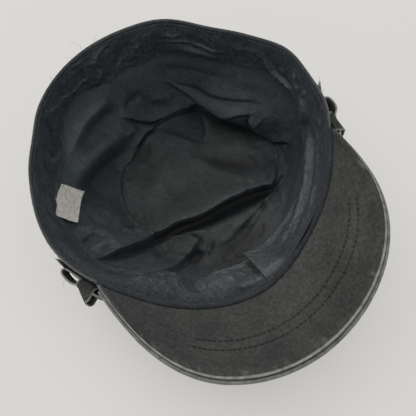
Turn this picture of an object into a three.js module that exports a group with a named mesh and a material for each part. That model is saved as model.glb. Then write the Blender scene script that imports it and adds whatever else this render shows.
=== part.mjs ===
// A cadet cap of washed canvas, lying upside down on its crown, with its dark lining showing.
// Millimetres, +Z up. The peak points towards -Y and the wearer's head comes in from above.
import * as THREE from 'three';

// Cloth thicknesses and the gap that sewn layers keep
const GAP = 0.35;
const CANVAS = 1.4;
const BAND_CANVAS = 1.9;
const LINING = 1.0;
const SWEATBAND = 1.2;
const LABEL = 1.0;

// Widths of the bands, measured down from the edge of the opening
const BAND_WIDTH = 36;
const SWEATBAND_WIDTH = 35;

// Peak: a stiff board covered with canvas, with a thinner canvas panel below and a rolled edge
const PEAK_DEPTH = 51.5;
const PEAK_CORNER_DEG = 71.9;
const PEAK_SHAPE = 4.16;
const PEAK_FORWARD = 0.61;
const PEAK_TILT_DEG = 18.6;
const PEAK_BOARD = 2.4;
const PEAK_PANEL = 1.2;
const PEAK_PANEL_INSET = 2.4;
const PIPING_RADIUS = 1.4;

// Strap over the front, its keepers and the raw tabs behind its ends
const STRAP_WIDTH = 11;
const STRAP_THICKNESS = 1.2;
const STRAP_DROP = 17;
const KEEPER_LENGTH = 11;
const KEEPER_HEIGHT = 15.4;
const KEEPER_DEPTH = 7.2;
const KEEPER_CLOTH = 1.2;
const TAB_LENGTH = 17;
const TAB_WIDTH = 9;
const TAB_THICKNESS = 0.9;

// The canvas wall every 30 degrees round from the front towards +X: radius and height of the opening's edge,
// how far the headband leans in towards its hem, the knee of the wall below it, and the foot on the crown
const CANVAS_SECTIONS = [
  { deg: -180, edge: 102.0, high: 87.9, hemIn: 1, knee: 98, kneeHigh: 24, foot: 89 },
  { deg: -150, edge: 97.8, high: 87.1, hemIn: 1, knee: 90, kneeHigh: 22, foot: 78 },
  { deg: -120, edge: 92.0, high: 84.9, hemIn: 3, knee: 80, kneeHigh: 20, foot: 68 },
  { deg: -90, edge: 91.4, high: 76.7, hemIn: 5, knee: 76, kneeHigh: 15, foot: 60 },
  { deg: -60, edge: 81.4, high: 62.0, hemIn: 5, knee: 71, kneeHigh: 7, foot: 54 },
  { deg: -30, edge: 79.0, high: 47.4, hemIn: 4, knee: 66, kneeHigh: 2, foot: 50 },
  { deg: 0, edge: 81.4, high: 42.1, hemIn: 3, knee: 68, kneeHigh: 1, foot: 49 },
  { deg: 30, edge: 83.0, high: 50.1, hemIn: 2, knee: 75, kneeHigh: 2, foot: 57 },
  { deg: 60, edge: 90.9, high: 66.6, hemIn: 1, knee: 88, kneeHigh: 9, foot: 76 },
  { deg: 90, edge: 99.4, high: 82.0, hemIn: 0, knee: 101, kneeHigh: 17, foot: 95 },
  { deg: 120, edge: 97.9, high: 89.6, hemIn: -2, knee: 103, kneeHigh: 21, foot: 98 },
  { deg: 150, edge: 100.6, high: 89.8, hemIn: -2, knee: 103, kneeHigh: 24, foot: 96 },
];

// The lining wall at the same angles. It hangs from the same edge, its hem is where the sweatband ends, and
// its foot is the seam of the crown lining, which has slid towards the right.
const LINING_SECTIONS = [
  { deg: -180, hemIn: 4, knee: 82, kneeHigh: 23, foot: 65 },
  { deg: -150, hemIn: 3, knee: 69, kneeHigh: 24, foot: 52 },
  { deg: -120, hemIn: 7, knee: 58, kneeHigh: 23, foot: 39 },
  { deg: -90, hemIn: 12, knee: 51, kneeHigh: 22, foot: 31 },
  { deg: -60, hemIn: 20, knee: 46, kneeHigh: 18, foot: 34 },
  { deg: -30, hemIn: 23, knee: 45, kneeHigh: 12, foot: 38 },
  { deg: 0, hemIn: 24, knee: 47, kneeHigh: 10, foot: 40 },
  { deg: 30, hemIn: 19, knee: 53, kneeHigh: 12, foot: 45 },
  { deg: 60, hemIn: 12, knee: 68, kneeHigh: 17, foot: 60 },
  { deg: 90, hemIn: 5, knee: 87, kneeHigh: 20, foot: 84 },
  { deg: 120, hemIn: 2, knee: 73, kneeHigh: 20, foot: 86 },
  { deg: 150, hemIn: 2, knee: 88, kneeHigh: 22, foot: 81 },
];

// Soft corners and flats of the opening between those sections
const EDGE_DENTS = [
  { deg: 105, out: 3.4, wide: 9 },
  { deg: 137, out: -3.0, wide: 10 },
  { deg: -136, out: -2.0, wide: 10 },
];

// The lining's fold across the crown: a rolled ridge from one point to another that leans over one side.
// It dies out over the share endShare of its length at both ends.
const FOLD = { x0: -70, y0: 8, x1: 78, y1: -15, rise: 10, leanX: -1, leanY: -8, wide: 8, endShare: 0.3 };

const CROWN_CENTRE = { x: 24, y: 22 };
const CROWN_FLOOR = CANVAS + GAP;
const LINING_FOOT = CROWN_FLOOR + 2 * LINING + 2 * GAP;

const ROUND_STEPS = 48;
const rad = THREE.MathUtils.degToRad;

function vec(x, y, z) {
  return new THREE.Vector3(x, y, z);
}

// A column of a section table at any angle, on a smooth closed curve through its rows
function column(table, name, theta) {
  const count = table.length;
  const place = ((THREE.MathUtils.radToDeg(theta) - table[0].deg) / 360) * count;
  const whole = Math.floor(place);
  const t = place - whole;
  const at = (k) => table[(((whole + k) % count) + count) % count][name];
  const [a, b, c, d] = [at(-1), at(0), at(1), at(2)];
  const linear = (c - a) / 2;
  const square = a - 2.5 * b + 2 * c - d / 2;
  const cube = (d - a) / 2 + 1.5 * (b - c);
  return b + t * (linear + t * (square + t * cube));
}

const edgeHeight = (theta) => column(CANVAS_SECTIONS, 'high', theta);

function edgeRadius(theta) {
  let radius = column(CANVAS_SECTIONS, 'edge', theta);
  for (const dent of EDGE_DENTS) {
    const off = THREE.MathUtils.euclideanModulo(THREE.MathUtils.radToDeg(theta) - dent.deg + 180, 360) - 180;
    radius += dent.out * Math.exp(-((off / dent.wide) ** 2));
  }
  return radius;
}

function around(theta, radius, z) {
  return vec(radius * Math.sin(theta), -radius * Math.cos(theta), z);
}

// A wall's curve at one angle: distance from the vertical axis, then height
function wallCurve(table, theta, edge, footHigh) {
  const value = (name) => column(table, name, theta);
  const fall = Math.sqrt(BAND_WIDTH ** 2 - value('hemIn') ** 2);
  return new THREE.CatmullRomCurve3([
    vec(edge, edgeHeight(theta), 0),
    vec(edge - value('hemIn'), edgeHeight(theta) - fall, 0),
    vec(value('knee'), value('kneeHigh'), 0),
    vec(value('foot'), footHigh, 0),
  ], false, 'centripetal');
}

const WALLS = {
  canvas: (theta) => wallCurve(CANVAS_SECTIONS, theta, edgeRadius(theta), 0),
  lining: (theta) => wallCurve(LINING_SECTIONS, theta, edgeRadius(theta) - BAND_CANVAS - GAP, LINING_FOOT),
};

// A wall's outer face; u runs from the edge of the opening to the foot
function outerFace(side) {
  const curves = new Map();
  return (theta, u) => {
    const key = theta.toFixed(7);
    if (!curves.has(key)) curves.set(key, WALLS[side](theta));
    const p = curves.get(key).getPoint(u);
    return around(theta, p.x, Math.max(0, p.y));
  };
}

const canvasFace = outerFace('canvas');
const liningFace = outerFace('lining');

// The face moved along its own normal, towards the inside of the cap
function inward(face, theta, u, distance) {
  const step = 0.002;
  const low = Math.max(0, u - step);
  const high = Math.min(1, u + step);
  const round = face(theta + step, u).sub(face(theta - step, u));
  const down = face(theta, high).sub(face(theta, low));
  const normal = round.cross(down).normalize();
  return face(theta, u).addScaledVector(normal, distance);
}

// The share of a wall's curve that lies a given length below the edge of the opening
function shareAtLength(face, theta, length) {
  const steps = 60;
  let before = face(theta, 0);
  let run = 0;
  for (let k = 1; k <= steps; k += 1) {
    const here = face(theta, k / steps);
    const piece = here.distanceTo(before);
    if (run + piece >= length) return (k - 1 + (length - run) / piece) / steps;
    run += piece;
    before = here;
  }
  return 1;
}

// A point of the lining, raised and leaned over by how near it lies to the fold
function foldLining(p) {
  const length = Math.hypot(FOLD.x1 - FOLD.x0, FOLD.y1 - FOLD.y0);
  const alongX = (FOLD.x1 - FOLD.x0) / length;
  const alongY = (FOLD.y1 - FOLD.y0) / length;
  const along = (p.x - FOLD.x0) * alongX + (p.y - FOLD.y0) * alongY;
  const across = (p.x - FOLD.x0) * -alongY + (p.y - FOLD.y0) * alongX;
  const fade = length * FOLD.endShare;
  const ends = THREE.MathUtils.smoothstep(along, 0, fade)
    * THREE.MathUtils.smoothstep(length - along, 0, fade);
  const share = ends * Math.exp(-((across / FOLD.wide) ** 2));
  return vec(FOLD.leanX, FOLD.leanY, FOLD.rise).multiplyScalar(share).add(p);
}

// A closed mesh from triangles of points: equal points are joined and slivers dropped
function solid(triangles) {
  const seen = new Map();
  const positions = [];
  const index = [];
  const number = (p) => {
    const key = `${Math.round(p.x * 1e4)},${Math.round(p.y * 1e4)},${Math.round(p.z * 1e4)}`;
    if (!seen.has(key)) {
      seen.set(key, positions.length / 3);
      positions.push(p.x, p.y, p.z);
    }
    return seen.get(key);
  };
  let volume = 0;
  for (const [a, b, c] of triangles) {
    const [i, j, k] = [number(a), number(b), number(c)];
    if (i === j || j === k || k === i) continue;
    index.push(i, j, k);
    volume += a.dot(vec(0, 0, 0).crossVectors(b, c));
  }
  if (volume < 0) index.reverse();
  const geometry = new THREE.BufferGeometry();
  geometry.setAttribute('position', new THREE.Float32BufferAttribute(positions, 3));
  geometry.setIndex(index);
  geometry.computeVertexNormals();
  return geometry;
}

// A wall of cloth between two faces, each given as a function of two shares from 0 to 1
function wall(faceA, faceB, countI, countJ, closedRound) {
  const triangles = [];
  const grid = (face) => Array.from({ length: countI + 1 }, (_, i) => Array.from(
    { length: countJ + 1 }, (_, j) => face(closedRound ? (i % countI) / countI : i / countI, j / countJ)));
  const [a, b] = [grid(faceA), grid(faceB)];
  const quad = (p, q, r, s) => triangles.push([p, q, r], [p, r, s]);
  for (let i = 0; i < countI; i += 1) {
    for (let j = 0; j < countJ; j += 1) {
      quad(a[i][j], a[i + 1][j], a[i + 1][j + 1], a[i][j + 1]);
      quad(b[i][j], b[i][j + 1], b[i + 1][j + 1], b[i + 1][j]);
    }
    quad(a[i][0], b[i][0], b[i + 1][0], a[i + 1][0]);
    quad(a[i][countJ], a[i + 1][countJ], b[i + 1][countJ], b[i][countJ]);
  }
  if (!closedRound) {
    for (let j = 0; j < countJ; j += 1) {
      quad(a[0][j], a[0][j + 1], b[0][j + 1], b[0][j]);
      quad(a[countI][j], b[countI][j], b[countI][j + 1], a[countI][j + 1]);
    }
  }
  return solid(triangles);
}

// A rod or ribbon: one closed loop of points at each of count + 1 stations, with flat ends
function swept(section, count) {
  const triangles = [];
  const rings = Array.from({ length: count + 1 }, (_, i) => section(i / count));
  const size = rings[0].length;
  for (let i = 0; i < count; i += 1) {
    for (let k = 0; k < size; k += 1) {
      const n = (k + 1) % size;
      triangles.push([rings[i][k], rings[i + 1][k], rings[i + 1][n]]);
      triangles.push([rings[i][k], rings[i + 1][n], rings[i][n]]);
    }
  }
  for (let k = 1; k < size - 1; k += 1) {
    triangles.push([rings[0][0], rings[0][k], rings[0][k + 1]]);
    triangles.push([rings[count][0], rings[count][k + 1], rings[count][k]]);
  }
  return solid(triangles);
}

const turn = (share) => (share * 2 - 1) * Math.PI;

// Canvas shell: headband, side wall and crown top
function headband() {
  const at = (i, j) => [turn(i), j * shareAtLength(canvasFace, turn(i), BAND_WIDTH)];
  return wall((i, j) => canvasFace(...at(i, j)), (i, j) => inward(canvasFace, ...at(i, j), BAND_CANVAS),
    ROUND_STEPS, 2, true);
}

function crownSide() {
  const at = (i, j) => {
    const start = shareAtLength(canvasFace, turn(i), BAND_WIDTH + GAP);
    return [turn(i), start + j * (1 - start)];
  };
  return wall((i, j) => canvasFace(...at(i, j)), (i, j) => inward(canvasFace, ...at(i, j), CANVAS),
    ROUND_STEPS, 6, true);
}

const SEAM_CLEARANCE = 2.2;
const LINING_RING_STEPS = 9;

// A flat disc from a wall's foot to the middle of the crown, as the faces at two heights
function disc(table, low, high, rings, fold) {
  const face = (z) => (i, j) => {
    const edge = around(turn(i), column(table, 'foot', turn(i)) - SEAM_CLEARANCE, 0);
    return fold(edge.lerp(vec(CROWN_CENTRE.x, CROWN_CENTRE.y, 0), j).setZ(z));
  };
  return wall(face(low), face(high), ROUND_STEPS, rings, true);
}

function crownTop() {
  return disc(CANVAS_SECTIONS, 0, CANVAS, 1, (p) => p);
}

// Lining: side wall, crown disc and sweatband, each starting a little below the edge of the opening
const LINING_BELOW_EDGE = 1.2;
const SWEATBAND_BELOW_EDGE = 2.6;

function liningSide() {
  const at = (i, j) => {
    const start = shareAtLength(liningFace, turn(i), LINING_BELOW_EDGE);
    return [turn(i), start + j * (1 - start)];
  };
  return wall((i, j) => foldLining(liningFace(...at(i, j))),
    (i, j) => foldLining(inward(liningFace, ...at(i, j), LINING)), ROUND_STEPS, 9, true);
}

function liningTop() {
  return disc(LINING_SECTIONS, CROWN_FLOOR, CROWN_FLOOR + LINING, LINING_RING_STEPS, foldLining);
}

const SWEATBAND_START = LINING + 2 * GAP;
const SWEATBAND_JOIN_DEG = 9;
const SWEATBAND_LAP_DEG = 2.2;

// The sweatband is a strip whose two ends almost meet at the front right
function sweatband() {
  const from = rad(SWEATBAND_JOIN_DEG + SWEATBAND_LAP_DEG / 2);
  const sweep = rad(360 - SWEATBAND_LAP_DEG);
  const at = (i, j) => {
    const theta = from + i * sweep;
    return [theta, shareAtLength(liningFace, theta, SWEATBAND_BELOW_EDGE + j * SWEATBAND_WIDTH)];
  };
  return wall((i, j) => inward(liningFace, ...at(i, j), SWEATBAND_START),
    (i, j) => inward(liningFace, ...at(i, j), SWEATBAND_START + SWEATBAND), ROUND_STEPS, 3, false);
}

// Peak: a point at share t along its seam, from -1 to 1, and share w of its depth
function peakPoint(t, w, lift, inset = 0) {
  const theta = rad(PEAK_CORNER_DEG) * t;
  const step = 0.004;
  const seam = around(theta, edgeRadius(theta) + GAP, edgeHeight(theta));
  const ahead = around(theta + step, edgeRadius(theta + step), 0);
  const behind = around(theta - step, edgeRadius(theta - step), 0);
  const run = ahead.sub(behind);
  const out = vec(run.y, -run.x, 0).normalize().multiplyScalar(1 - PEAK_FORWARD);
  out.add(vec(0, -PEAK_FORWARD, 0)).normalize();
  const depth = Math.max(0, PEAK_DEPTH * (1 - Math.abs(t) ** PEAK_SHAPE) - inset);
  const tilt = rad(PEAK_TILT_DEG);
  const normal = vec(-out.x * Math.sin(tilt), -out.y * Math.sin(tilt), Math.cos(tilt));
  return seam.addScaledVector(out, depth * w * Math.cos(tilt)).add(vec(0, 0, depth * w * Math.sin(tilt)))
    .addScaledVector(normal, lift);
}

const PEAK_STEPS = 36;
const PEAK_END = 0.985;
const peakShare = (i) => Math.sin((i - 0.5) * Math.PI) * PEAK_END;

function peakUpper() {
  return wall((i, j) => peakPoint(peakShare(i), j, -PEAK_PANEL - GAP - PEAK_BOARD),
    (i, j) => peakPoint(peakShare(i), j, -PEAK_PANEL - GAP), PEAK_STEPS, 3, false);
}

function peakUnder() {
  return wall((i, j) => peakPoint(peakShare(i), j, -PEAK_PANEL, PEAK_PANEL_INSET),
    (i, j) => peakPoint(peakShare(i), j, 0, PEAK_PANEL_INSET), PEAK_STEPS, 3, false);
}

// The rolled edge runs round the board's edge with a small gap
const PIPING_SIDES = 8;

function peakPiping() {
  const edge = (s) => peakPoint(peakShare(s), 1, -PEAK_PANEL - GAP - PEAK_BOARD / 2);
  const step = 0.004;
  return swept((s) => {
    const run = edge(Math.min(1, s + step)).sub(edge(Math.max(0, s - step))).normalize();
    const up = vec(0, 0, 1).addScaledVector(run, -run.z).normalize();
    const out = run.clone().cross(up).normalize();
    const centre = edge(s).addScaledVector(out, PIPING_RADIUS + GAP);
    return Array.from({ length: PIPING_SIDES }, (_, k) => {
      const angle = (k / PIPING_SIDES) * 2 * Math.PI;
      return centre.clone().addScaledVector(out, PIPING_RADIUS * Math.cos(angle))
        .addScaledVector(up, PIPING_RADIUS * Math.sin(angle));
    });
  }, PEAK_STEPS);
}

// A narrow strip over the seam between the sweatband and the peak
const BINDING_WIDTH = 3.2;
const BINDING_THICKNESS = 0.9;

function rimBinding() {
  const face = (lift) => (i, j) => {
    const theta = rad(PEAK_CORNER_DEG) * (i * 2 - 1);
    const radius = edgeRadius(theta) + GAP / 2 - BINDING_WIDTH * j;
    return around(theta, radius, edgeHeight(theta) + GAP + lift);
  };
  return wall(face(0), face(BINDING_THICKNESS), 40, 2, false);
}

// A place on the outside of the headband: angle, length below the edge, distance off the cloth
function onBand(theta, drop, off) {
  return inward(canvasFace, theta, shareAtLength(canvasFace, theta, drop), -off);
}

// Turns a length along the headband into an angle there
const perMillimetre = (theta) => 1 / edgeRadius(theta);

const KEEPERS = [
  { name: 'left', deg: -76, back: -1 },
  { name: 'right', deg: 77, back: 1 },
];

// The strap at both ends, from its end hidden in the keeper, back round the loop and forward over the keeper:
// length from the keeper's middle towards the back of the cap, and distance off the band
const STRAP_END = [
  { back: 0, off: 2.5 },
  { back: 11.5, off: 2.5 },
  { back: 15.8, off: 3.1 },
  { back: 17.5, off: 5.0 },
  { back: 15.6, off: 7.6 },
  { back: 10.3, off: 6.3 },
  { back: 5.5, off: 4.4 },
  { back: -5.5, off: 4.4 },
  { back: -13.5, off: 2.6 },
  { back: -21.5, off: 1.2 },
];
const STRAP_FRONT = { fromDeg: -50, toDeg: 55, steps: 10, off: 1.2 };

// The strap's line is drawn on the band laid flat at this radius: along the band, then off it
const FLAT_RADIUS = 90;

function strapLine() {
  const end = (keeper) => STRAP_END.map(({ back, off }) => {
    const middle = rad(keeper.deg);
    return vec((middle + back * keeper.back * perMillimetre(middle)) * FLAT_RADIUS, off, 0);
  });
  const front = Array.from({ length: STRAP_FRONT.steps + 1 }, (_, k) => {
    const deg = THREE.MathUtils.lerp(STRAP_FRONT.fromDeg, STRAP_FRONT.toDeg, k / STRAP_FRONT.steps);
    return vec(rad(deg) * FLAT_RADIUS, STRAP_FRONT.off, 0);
  });
  const [left, right] = KEEPERS.map(end);
  return new THREE.CatmullRomCurve3([...left, ...front, ...right.reverse()], false, 'centripetal');
}

function frontStrap() {
  const line = strapLine();
  const steps = 96;
  return swept((s) => {
    const p = line.getPointAt(s);
    const run = line.getTangentAt(s);
    const side = vec(-run.y, run.x, 0).multiplyScalar(STRAP_THICKNESS / 2);
    const place = (q, drop) => onBand(q.x / FLAT_RADIUS, drop, q.y);
    const [high, low] = [STRAP_DROP - STRAP_WIDTH / 2, STRAP_DROP + STRAP_WIDTH / 2];
    const [a, b] = [p.clone().add(side), p.clone().sub(side)];
    return [place(a, high), place(a, low), place(b, low), place(b, high)];
  }, steps);
}

// A keeper is a flat tube of canvas round the strap
function keeper({ deg }) {
  const middle = rad(deg);
  const half = (KEEPER_LENGTH / 2) * perMillimetre(middle);
  const ring = (depthInset, share) => {
    const corner = share * 4;
    const side = Math.floor(corner) % 4;
    const t = corner - Math.floor(corner);
    const tall = KEEPER_HEIGHT / 2 - depthInset;
    const near = GAP + depthInset;
    const far = GAP + KEEPER_DEPTH - depthInset;
    const corners = [[-tall, near], [tall, near], [tall, far], [-tall, far]];
    const [from, to] = [corners[side], corners[(side + 1) % 4]];
    return [from[0] + (to[0] - from[0]) * t, from[1] + (to[1] - from[1]) * t];
  };
  const face = (depthInset) => (i, j) => {
    const [tall, off] = ring(depthInset, i);
    return onBand(middle + (j * 2 - 1) * half, STRAP_DROP + tall, off);
  };
  return wall(face(0), face(KEEPER_CLOTH), 8, 3, true);
}

// A raw-edged strip of canvas between the band and the strap's loop
function strapTab({ deg, back }) {
  const middle = rad(deg);
  const start = middle + back * (KEEPER_LENGTH / 2 + GAP) * perMillimetre(middle);
  const sweep = back * TAB_LENGTH * perMillimetre(middle);
  const face = (off) => (i, j) => onBand(start + sweep * i, STRAP_DROP - TAB_WIDTH / 2 + TAB_WIDTH * j, off);
  return wall(face(GAP), face(GAP + TAB_THICKNESS), 6, 2, false);
}

// The care label lies on the lining below the sweatband's free edge, on the left
const LABEL_DEG = -121.5;
const LABEL_WIDTH = 21;
const LABEL_LENGTH = 15;
const LABEL_RADIUS = 77;

function careLabel() {
  const sweep = LABEL_WIDTH / LABEL_RADIUS;
  const start = SWEATBAND_BELOW_EDGE + SWEATBAND_WIDTH + SWEATBAND;
  const face = (lift) => (i, j) => {
    const theta = rad(LABEL_DEG) + (i - 0.5) * sweep;
    const share = shareAtLength(liningFace, theta, start + LABEL_LENGTH * j);
    return inward(liningFace, theta, share, LINING + 3 * GAP + lift);
  };
  return wall(face(0), face(LABEL), 5, 3, false);
}

// Each piece with its cloth: colour as in the photograph, rough and without metal
const CLOTHS = {
  canvas: { color: 0x4b4c49, roughness: 0.92 },
  worn_canvas: { color: 0x6f706b, roughness: 0.95 },
  lining: { color: 0x232729, roughness: 0.88 },
  band_cloth: { color: 0x1f2427, roughness: 0.84 },
  label_cloth: { color: 0xb9bab8, roughness: 0.7 },
};

const PIECES = [
  ['crown_top', crownTop, 'canvas'],
  ['crown_side', crownSide, 'canvas'],
  ['headband', headband, 'canvas'],
  ['lining_top', liningTop, 'lining'],
  ['lining_side', liningSide, 'lining'],
  ['sweatband', sweatband, 'band_cloth'],
  ['rim_binding', rimBinding, 'band_cloth'],
  ['peak_upper', peakUpper, 'canvas'],
  ['peak_under', peakUnder, 'canvas'],
  ['peak_piping', peakPiping, 'worn_canvas'],
  ['front_strap', frontStrap, 'worn_canvas'],
  ['care_label', careLabel, 'label_cloth'],
];
for (const side of KEEPERS) {
  PIECES.push([`keeper_${side.name}`, () => keeper(side), 'canvas']);
  PIECES.push([`strap_tab_${side.name}`, () => strapTab(side), 'worn_canvas']);
}

const cap = new THREE.Group();
for (const [name, build, cloth] of PIECES) {
  const material = new THREE.MeshStandardMaterial({ ...CLOTHS[cloth], metalness: 0 });
  const mesh = new THREE.Mesh(build(), material);
  mesh.name = name;
  cap.add(mesh);
}

// The origin is the middle of the cap's outline, at the level that it lies on
const box = new THREE.Box3().setFromObject(cap);
const middle = box.getCenter(vec(0, 0, 0));
cap.position.set(-middle.x, -middle.y, -box.min.z);

export default cap;
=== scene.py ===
"""A cadet cap of washed canvas, lying upside down on its crown, with its creased lining showing.

The shapes are worked out in millimetres, in the cap's own frame: the angle is 0 at the middle of the peak and
grows towards +X, and lengths are measured down from the edge of the opening. They are written in metres.
"""
import logging
import math
from collections.abc import Callable
from dataclasses import dataclass, field
from enum import Enum

import bmesh
import bpy
import numpy as np
from mathutils import Matrix, Vector, noise


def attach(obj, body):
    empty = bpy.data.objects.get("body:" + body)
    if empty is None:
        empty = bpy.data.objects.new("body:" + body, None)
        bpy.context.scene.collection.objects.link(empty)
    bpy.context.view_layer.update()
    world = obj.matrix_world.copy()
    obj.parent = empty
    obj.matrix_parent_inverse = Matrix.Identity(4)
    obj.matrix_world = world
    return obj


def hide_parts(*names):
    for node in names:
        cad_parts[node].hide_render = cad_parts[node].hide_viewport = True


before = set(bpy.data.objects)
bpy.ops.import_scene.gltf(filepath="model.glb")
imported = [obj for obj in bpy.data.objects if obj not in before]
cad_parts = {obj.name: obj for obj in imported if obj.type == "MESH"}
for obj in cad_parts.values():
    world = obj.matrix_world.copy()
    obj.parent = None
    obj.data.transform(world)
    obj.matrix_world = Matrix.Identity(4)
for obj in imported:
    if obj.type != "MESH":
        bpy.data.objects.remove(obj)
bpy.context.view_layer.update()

LOG = logging.getLogger("cadet_cap")
MM = 0.001
CAP_PLACE = np.array((-4.626, 16.288, 0.0))
ROOT = "root"
UV_UNIT = 100.0
UP = np.array((0.0, 0.0, 1.0))

Shape = Callable[[np.ndarray, np.ndarray], np.ndarray]
Base = Callable[[np.ndarray, np.ndarray], tuple[np.ndarray, np.ndarray]]


# Shape of the cap


def smoothstep(values: np.ndarray, low: float, high: float) -> np.ndarray:
    """Return a smooth step from 0 at low to 1 at high."""
    share = np.clip((values - low) / (high - low), 0.0, 1.0)
    return share * share * (3.0 - 2.0 * share)


def unit(vectors: np.ndarray) -> np.ndarray:
    """Return the vectors at length 1."""
    return vectors / np.maximum(np.linalg.norm(vectors, axis=-1, keepdims=True), 1e-9)


def around(theta: np.ndarray, radius: np.ndarray, high: np.ndarray) -> np.ndarray:
    """Return the places at an angle round the cap, a distance from its axis and a height."""
    theta, radius, high = np.broadcast_arrays(theta, radius, high)
    return np.stack((radius * np.sin(theta), -radius * np.cos(theta), high), axis=-1)


def bell(values: np.ndarray, wide: np.ndarray | float) -> np.ndarray:
    """Return a soft hump, 1 where values is 0."""
    return np.exp(-((values / wide) ** 2))


def from_deg(theta: np.ndarray, deg: float) -> np.ndarray:
    """Return how many degrees each angle stands from deg, between -180 and 180."""
    return (np.degrees(theta) - deg + 180.0) % 360.0 - 180.0


def turns(share: np.ndarray) -> np.ndarray:
    """Return the angle at a share of the way round from the back."""
    return (share * 2 - 1) * math.pi


def disc_polar(across: np.ndarray, down: np.ndarray) -> tuple[np.ndarray, np.ndarray]:
    """Return the angles and the shares of the way out of a square grid that is rounded off to a disc.

    Args:
        across: Shares of the way across.
        down: Shares of the way down.

    Returns:
        The angles and the shares.
    """
    x, y = across * 2 - 1, down * 2 - 1
    u, v = x * np.sqrt(1 - y * y / 2), y * np.sqrt(1 - x * x / 2)
    return np.arctan2(u, -v), np.hypot(u, v)


def run_lengths(path: np.ndarray) -> np.ndarray:
    """Return the length along a path up to each of its places."""
    return np.concatenate(([0.0], np.cumsum(np.linalg.norm(np.diff(path, axis=0), axis=1))))


def read_off(wanted: np.ndarray, scale: np.ndarray, rows: np.ndarray) -> np.ndarray:
    """Return rows of three values, read off where a rising scale reaches the wanted values."""
    return np.stack([np.interp(wanted, scale, rows[:, a]) for a in range(3)], -1)


@dataclass(frozen=True)
class Cut:
    """One upright cut through a wall of the cap, in millimetres.

    hem_in is how far the band leans in towards its hem. knee and knee_high are for the bend below it, and
    foot is for the crown seam.
    """

    hem_in: float
    knee: float
    knee_high: float
    foot: float


# Radius and height of the opening's edge, every 30 degrees from the back
EDGE_RADII = np.array((102.0, 97.8, 92.0, 91.4, 81.4, 79.0, 81.4, 83.0, 90.9, 99.4, 97.9, 100.6))
EDGE_HEIGHTS = np.array((87.9, 87.1, 84.9, 76.7, 62.0, 47.4, 42.1, 50.1, 66.6, 82.0, 89.6, 89.8))
CANVAS_CUTS = (
    Cut(1, 98, 24, 89), Cut(1, 90, 22, 78), Cut(3, 80, 20, 68), Cut(5, 76, 15, 60), Cut(5, 71, 7, 54),
    Cut(4, 66, 2, 50), Cut(3, 68, 1, 49), Cut(2, 75, 2, 57), Cut(1, 88, 9, 76), Cut(0, 101, 17, 95),
    Cut(-2, 103, 21, 98), Cut(-2, 103, 24, 96),
)
LINING_CUTS = (
    Cut(4, 82, 23, 65), Cut(3, 69, 24, 52), Cut(7, 58, 23, 39), Cut(12, 51, 22, 31), Cut(20, 46, 18, 34),
    Cut(23, 45, 12, 38), Cut(24, 47, 10, 40), Cut(19, 53, 12, 45), Cut(12, 68, 17, 60), Cut(5, 87, 20, 84),
    Cut(2, 73, 20, 86), Cut(2, 88, 22, 81),
)
BAND_WIDTH = 36.0
BAND_CANVAS = 1.9
LINING_FOOT = 4.45
GAP = 0.35


@dataclass(frozen=True)
class EdgeDent:
    """A soft corner or flat of the opening: its angle, how far it goes out and half its width."""

    deg: float
    out: float
    wide: float


EDGE_DENTS = (
    EdgeDent(105, 3.4, 9), EdgeDent(137, -3.0, 10), EdgeDent(-136, -2.0, 10), EdgeDent(155, 1.4, 10),
    EdgeDent(127, -1.7, 10), EdgeDent(81, 1.5, 7),
)


def closed_curve(values: np.ndarray, theta: np.ndarray) -> np.ndarray:
    """Return a smooth closed curve through values that stand evenly round the cap from the back.

    Args:
        values: One value for each equal step.
        theta: Angles to read it at.

    Returns:
        The curve's values there.
    """
    count = len(values)
    place = (np.degrees(theta) + 180.0) / 360.0 * count
    whole = np.floor(place).astype(int)
    t = place - whole
    a, b, c, d = (values[(whole + k) % count] for k in (-1, 0, 1, 2))
    return b + t * ((c - a) / 2 + t * (a - 2.5 * b + 2 * c - d / 2 + t * ((d - a) / 2 + 1.5 * (b - c))))


def edge_radius(theta: np.ndarray) -> np.ndarray:
    """Return the radius of the opening's edge."""
    dents = (dent.out * bell(from_deg(theta, dent.deg), dent.wide) for dent in EDGE_DENTS)
    return sum(dents, closed_curve(EDGE_RADII, theta))


def edge_height(theta: np.ndarray) -> np.ndarray:
    """Return the height of the opening's edge."""
    return closed_curve(EDGE_HEIGHTS, theta)


def spline(points: np.ndarray, count: int) -> np.ndarray:
    """Return count + 1 places on a smooth open curve through points, the last axis but one.

    Args:
        points: Knots, of shape (..., knots, dimensions).
        count: How many steps the curve is cut into, even in its own parameter.

    Returns:
        The places, of shape (..., count + 1, dimensions).
    """
    first = 2 * points[..., :1, :] - points[..., 1:2, :]
    last = 2 * points[..., -1:, :] - points[..., -2:-1, :]
    knots = np.concatenate((first, points, last), axis=-2)
    gaps = np.sqrt(np.linalg.norm(np.diff(knots, axis=-2), axis=-1, keepdims=True))
    spans = points.shape[-2] - 1
    place = np.linspace(0.0, spans, count + 1)
    whole = np.minimum(place.astype(int), spans - 1)
    t = (place - whole)[:, None]
    a, b, c, d = (knots[..., whole + k, :] for k in range(4))
    before, here, after = (gaps[..., whole + k, :] for k in range(3))
    start = ((b - a) / before - (c - a) / (before + here) + (c - b) / here) * here
    end = ((c - b) / here - (d - b) / (here + after) + (d - c) / after) * here
    return b + t * (start + t * (3 * (c - b) - 2 * start - end + t * (2 * (b - c) + start + end)))


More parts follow.
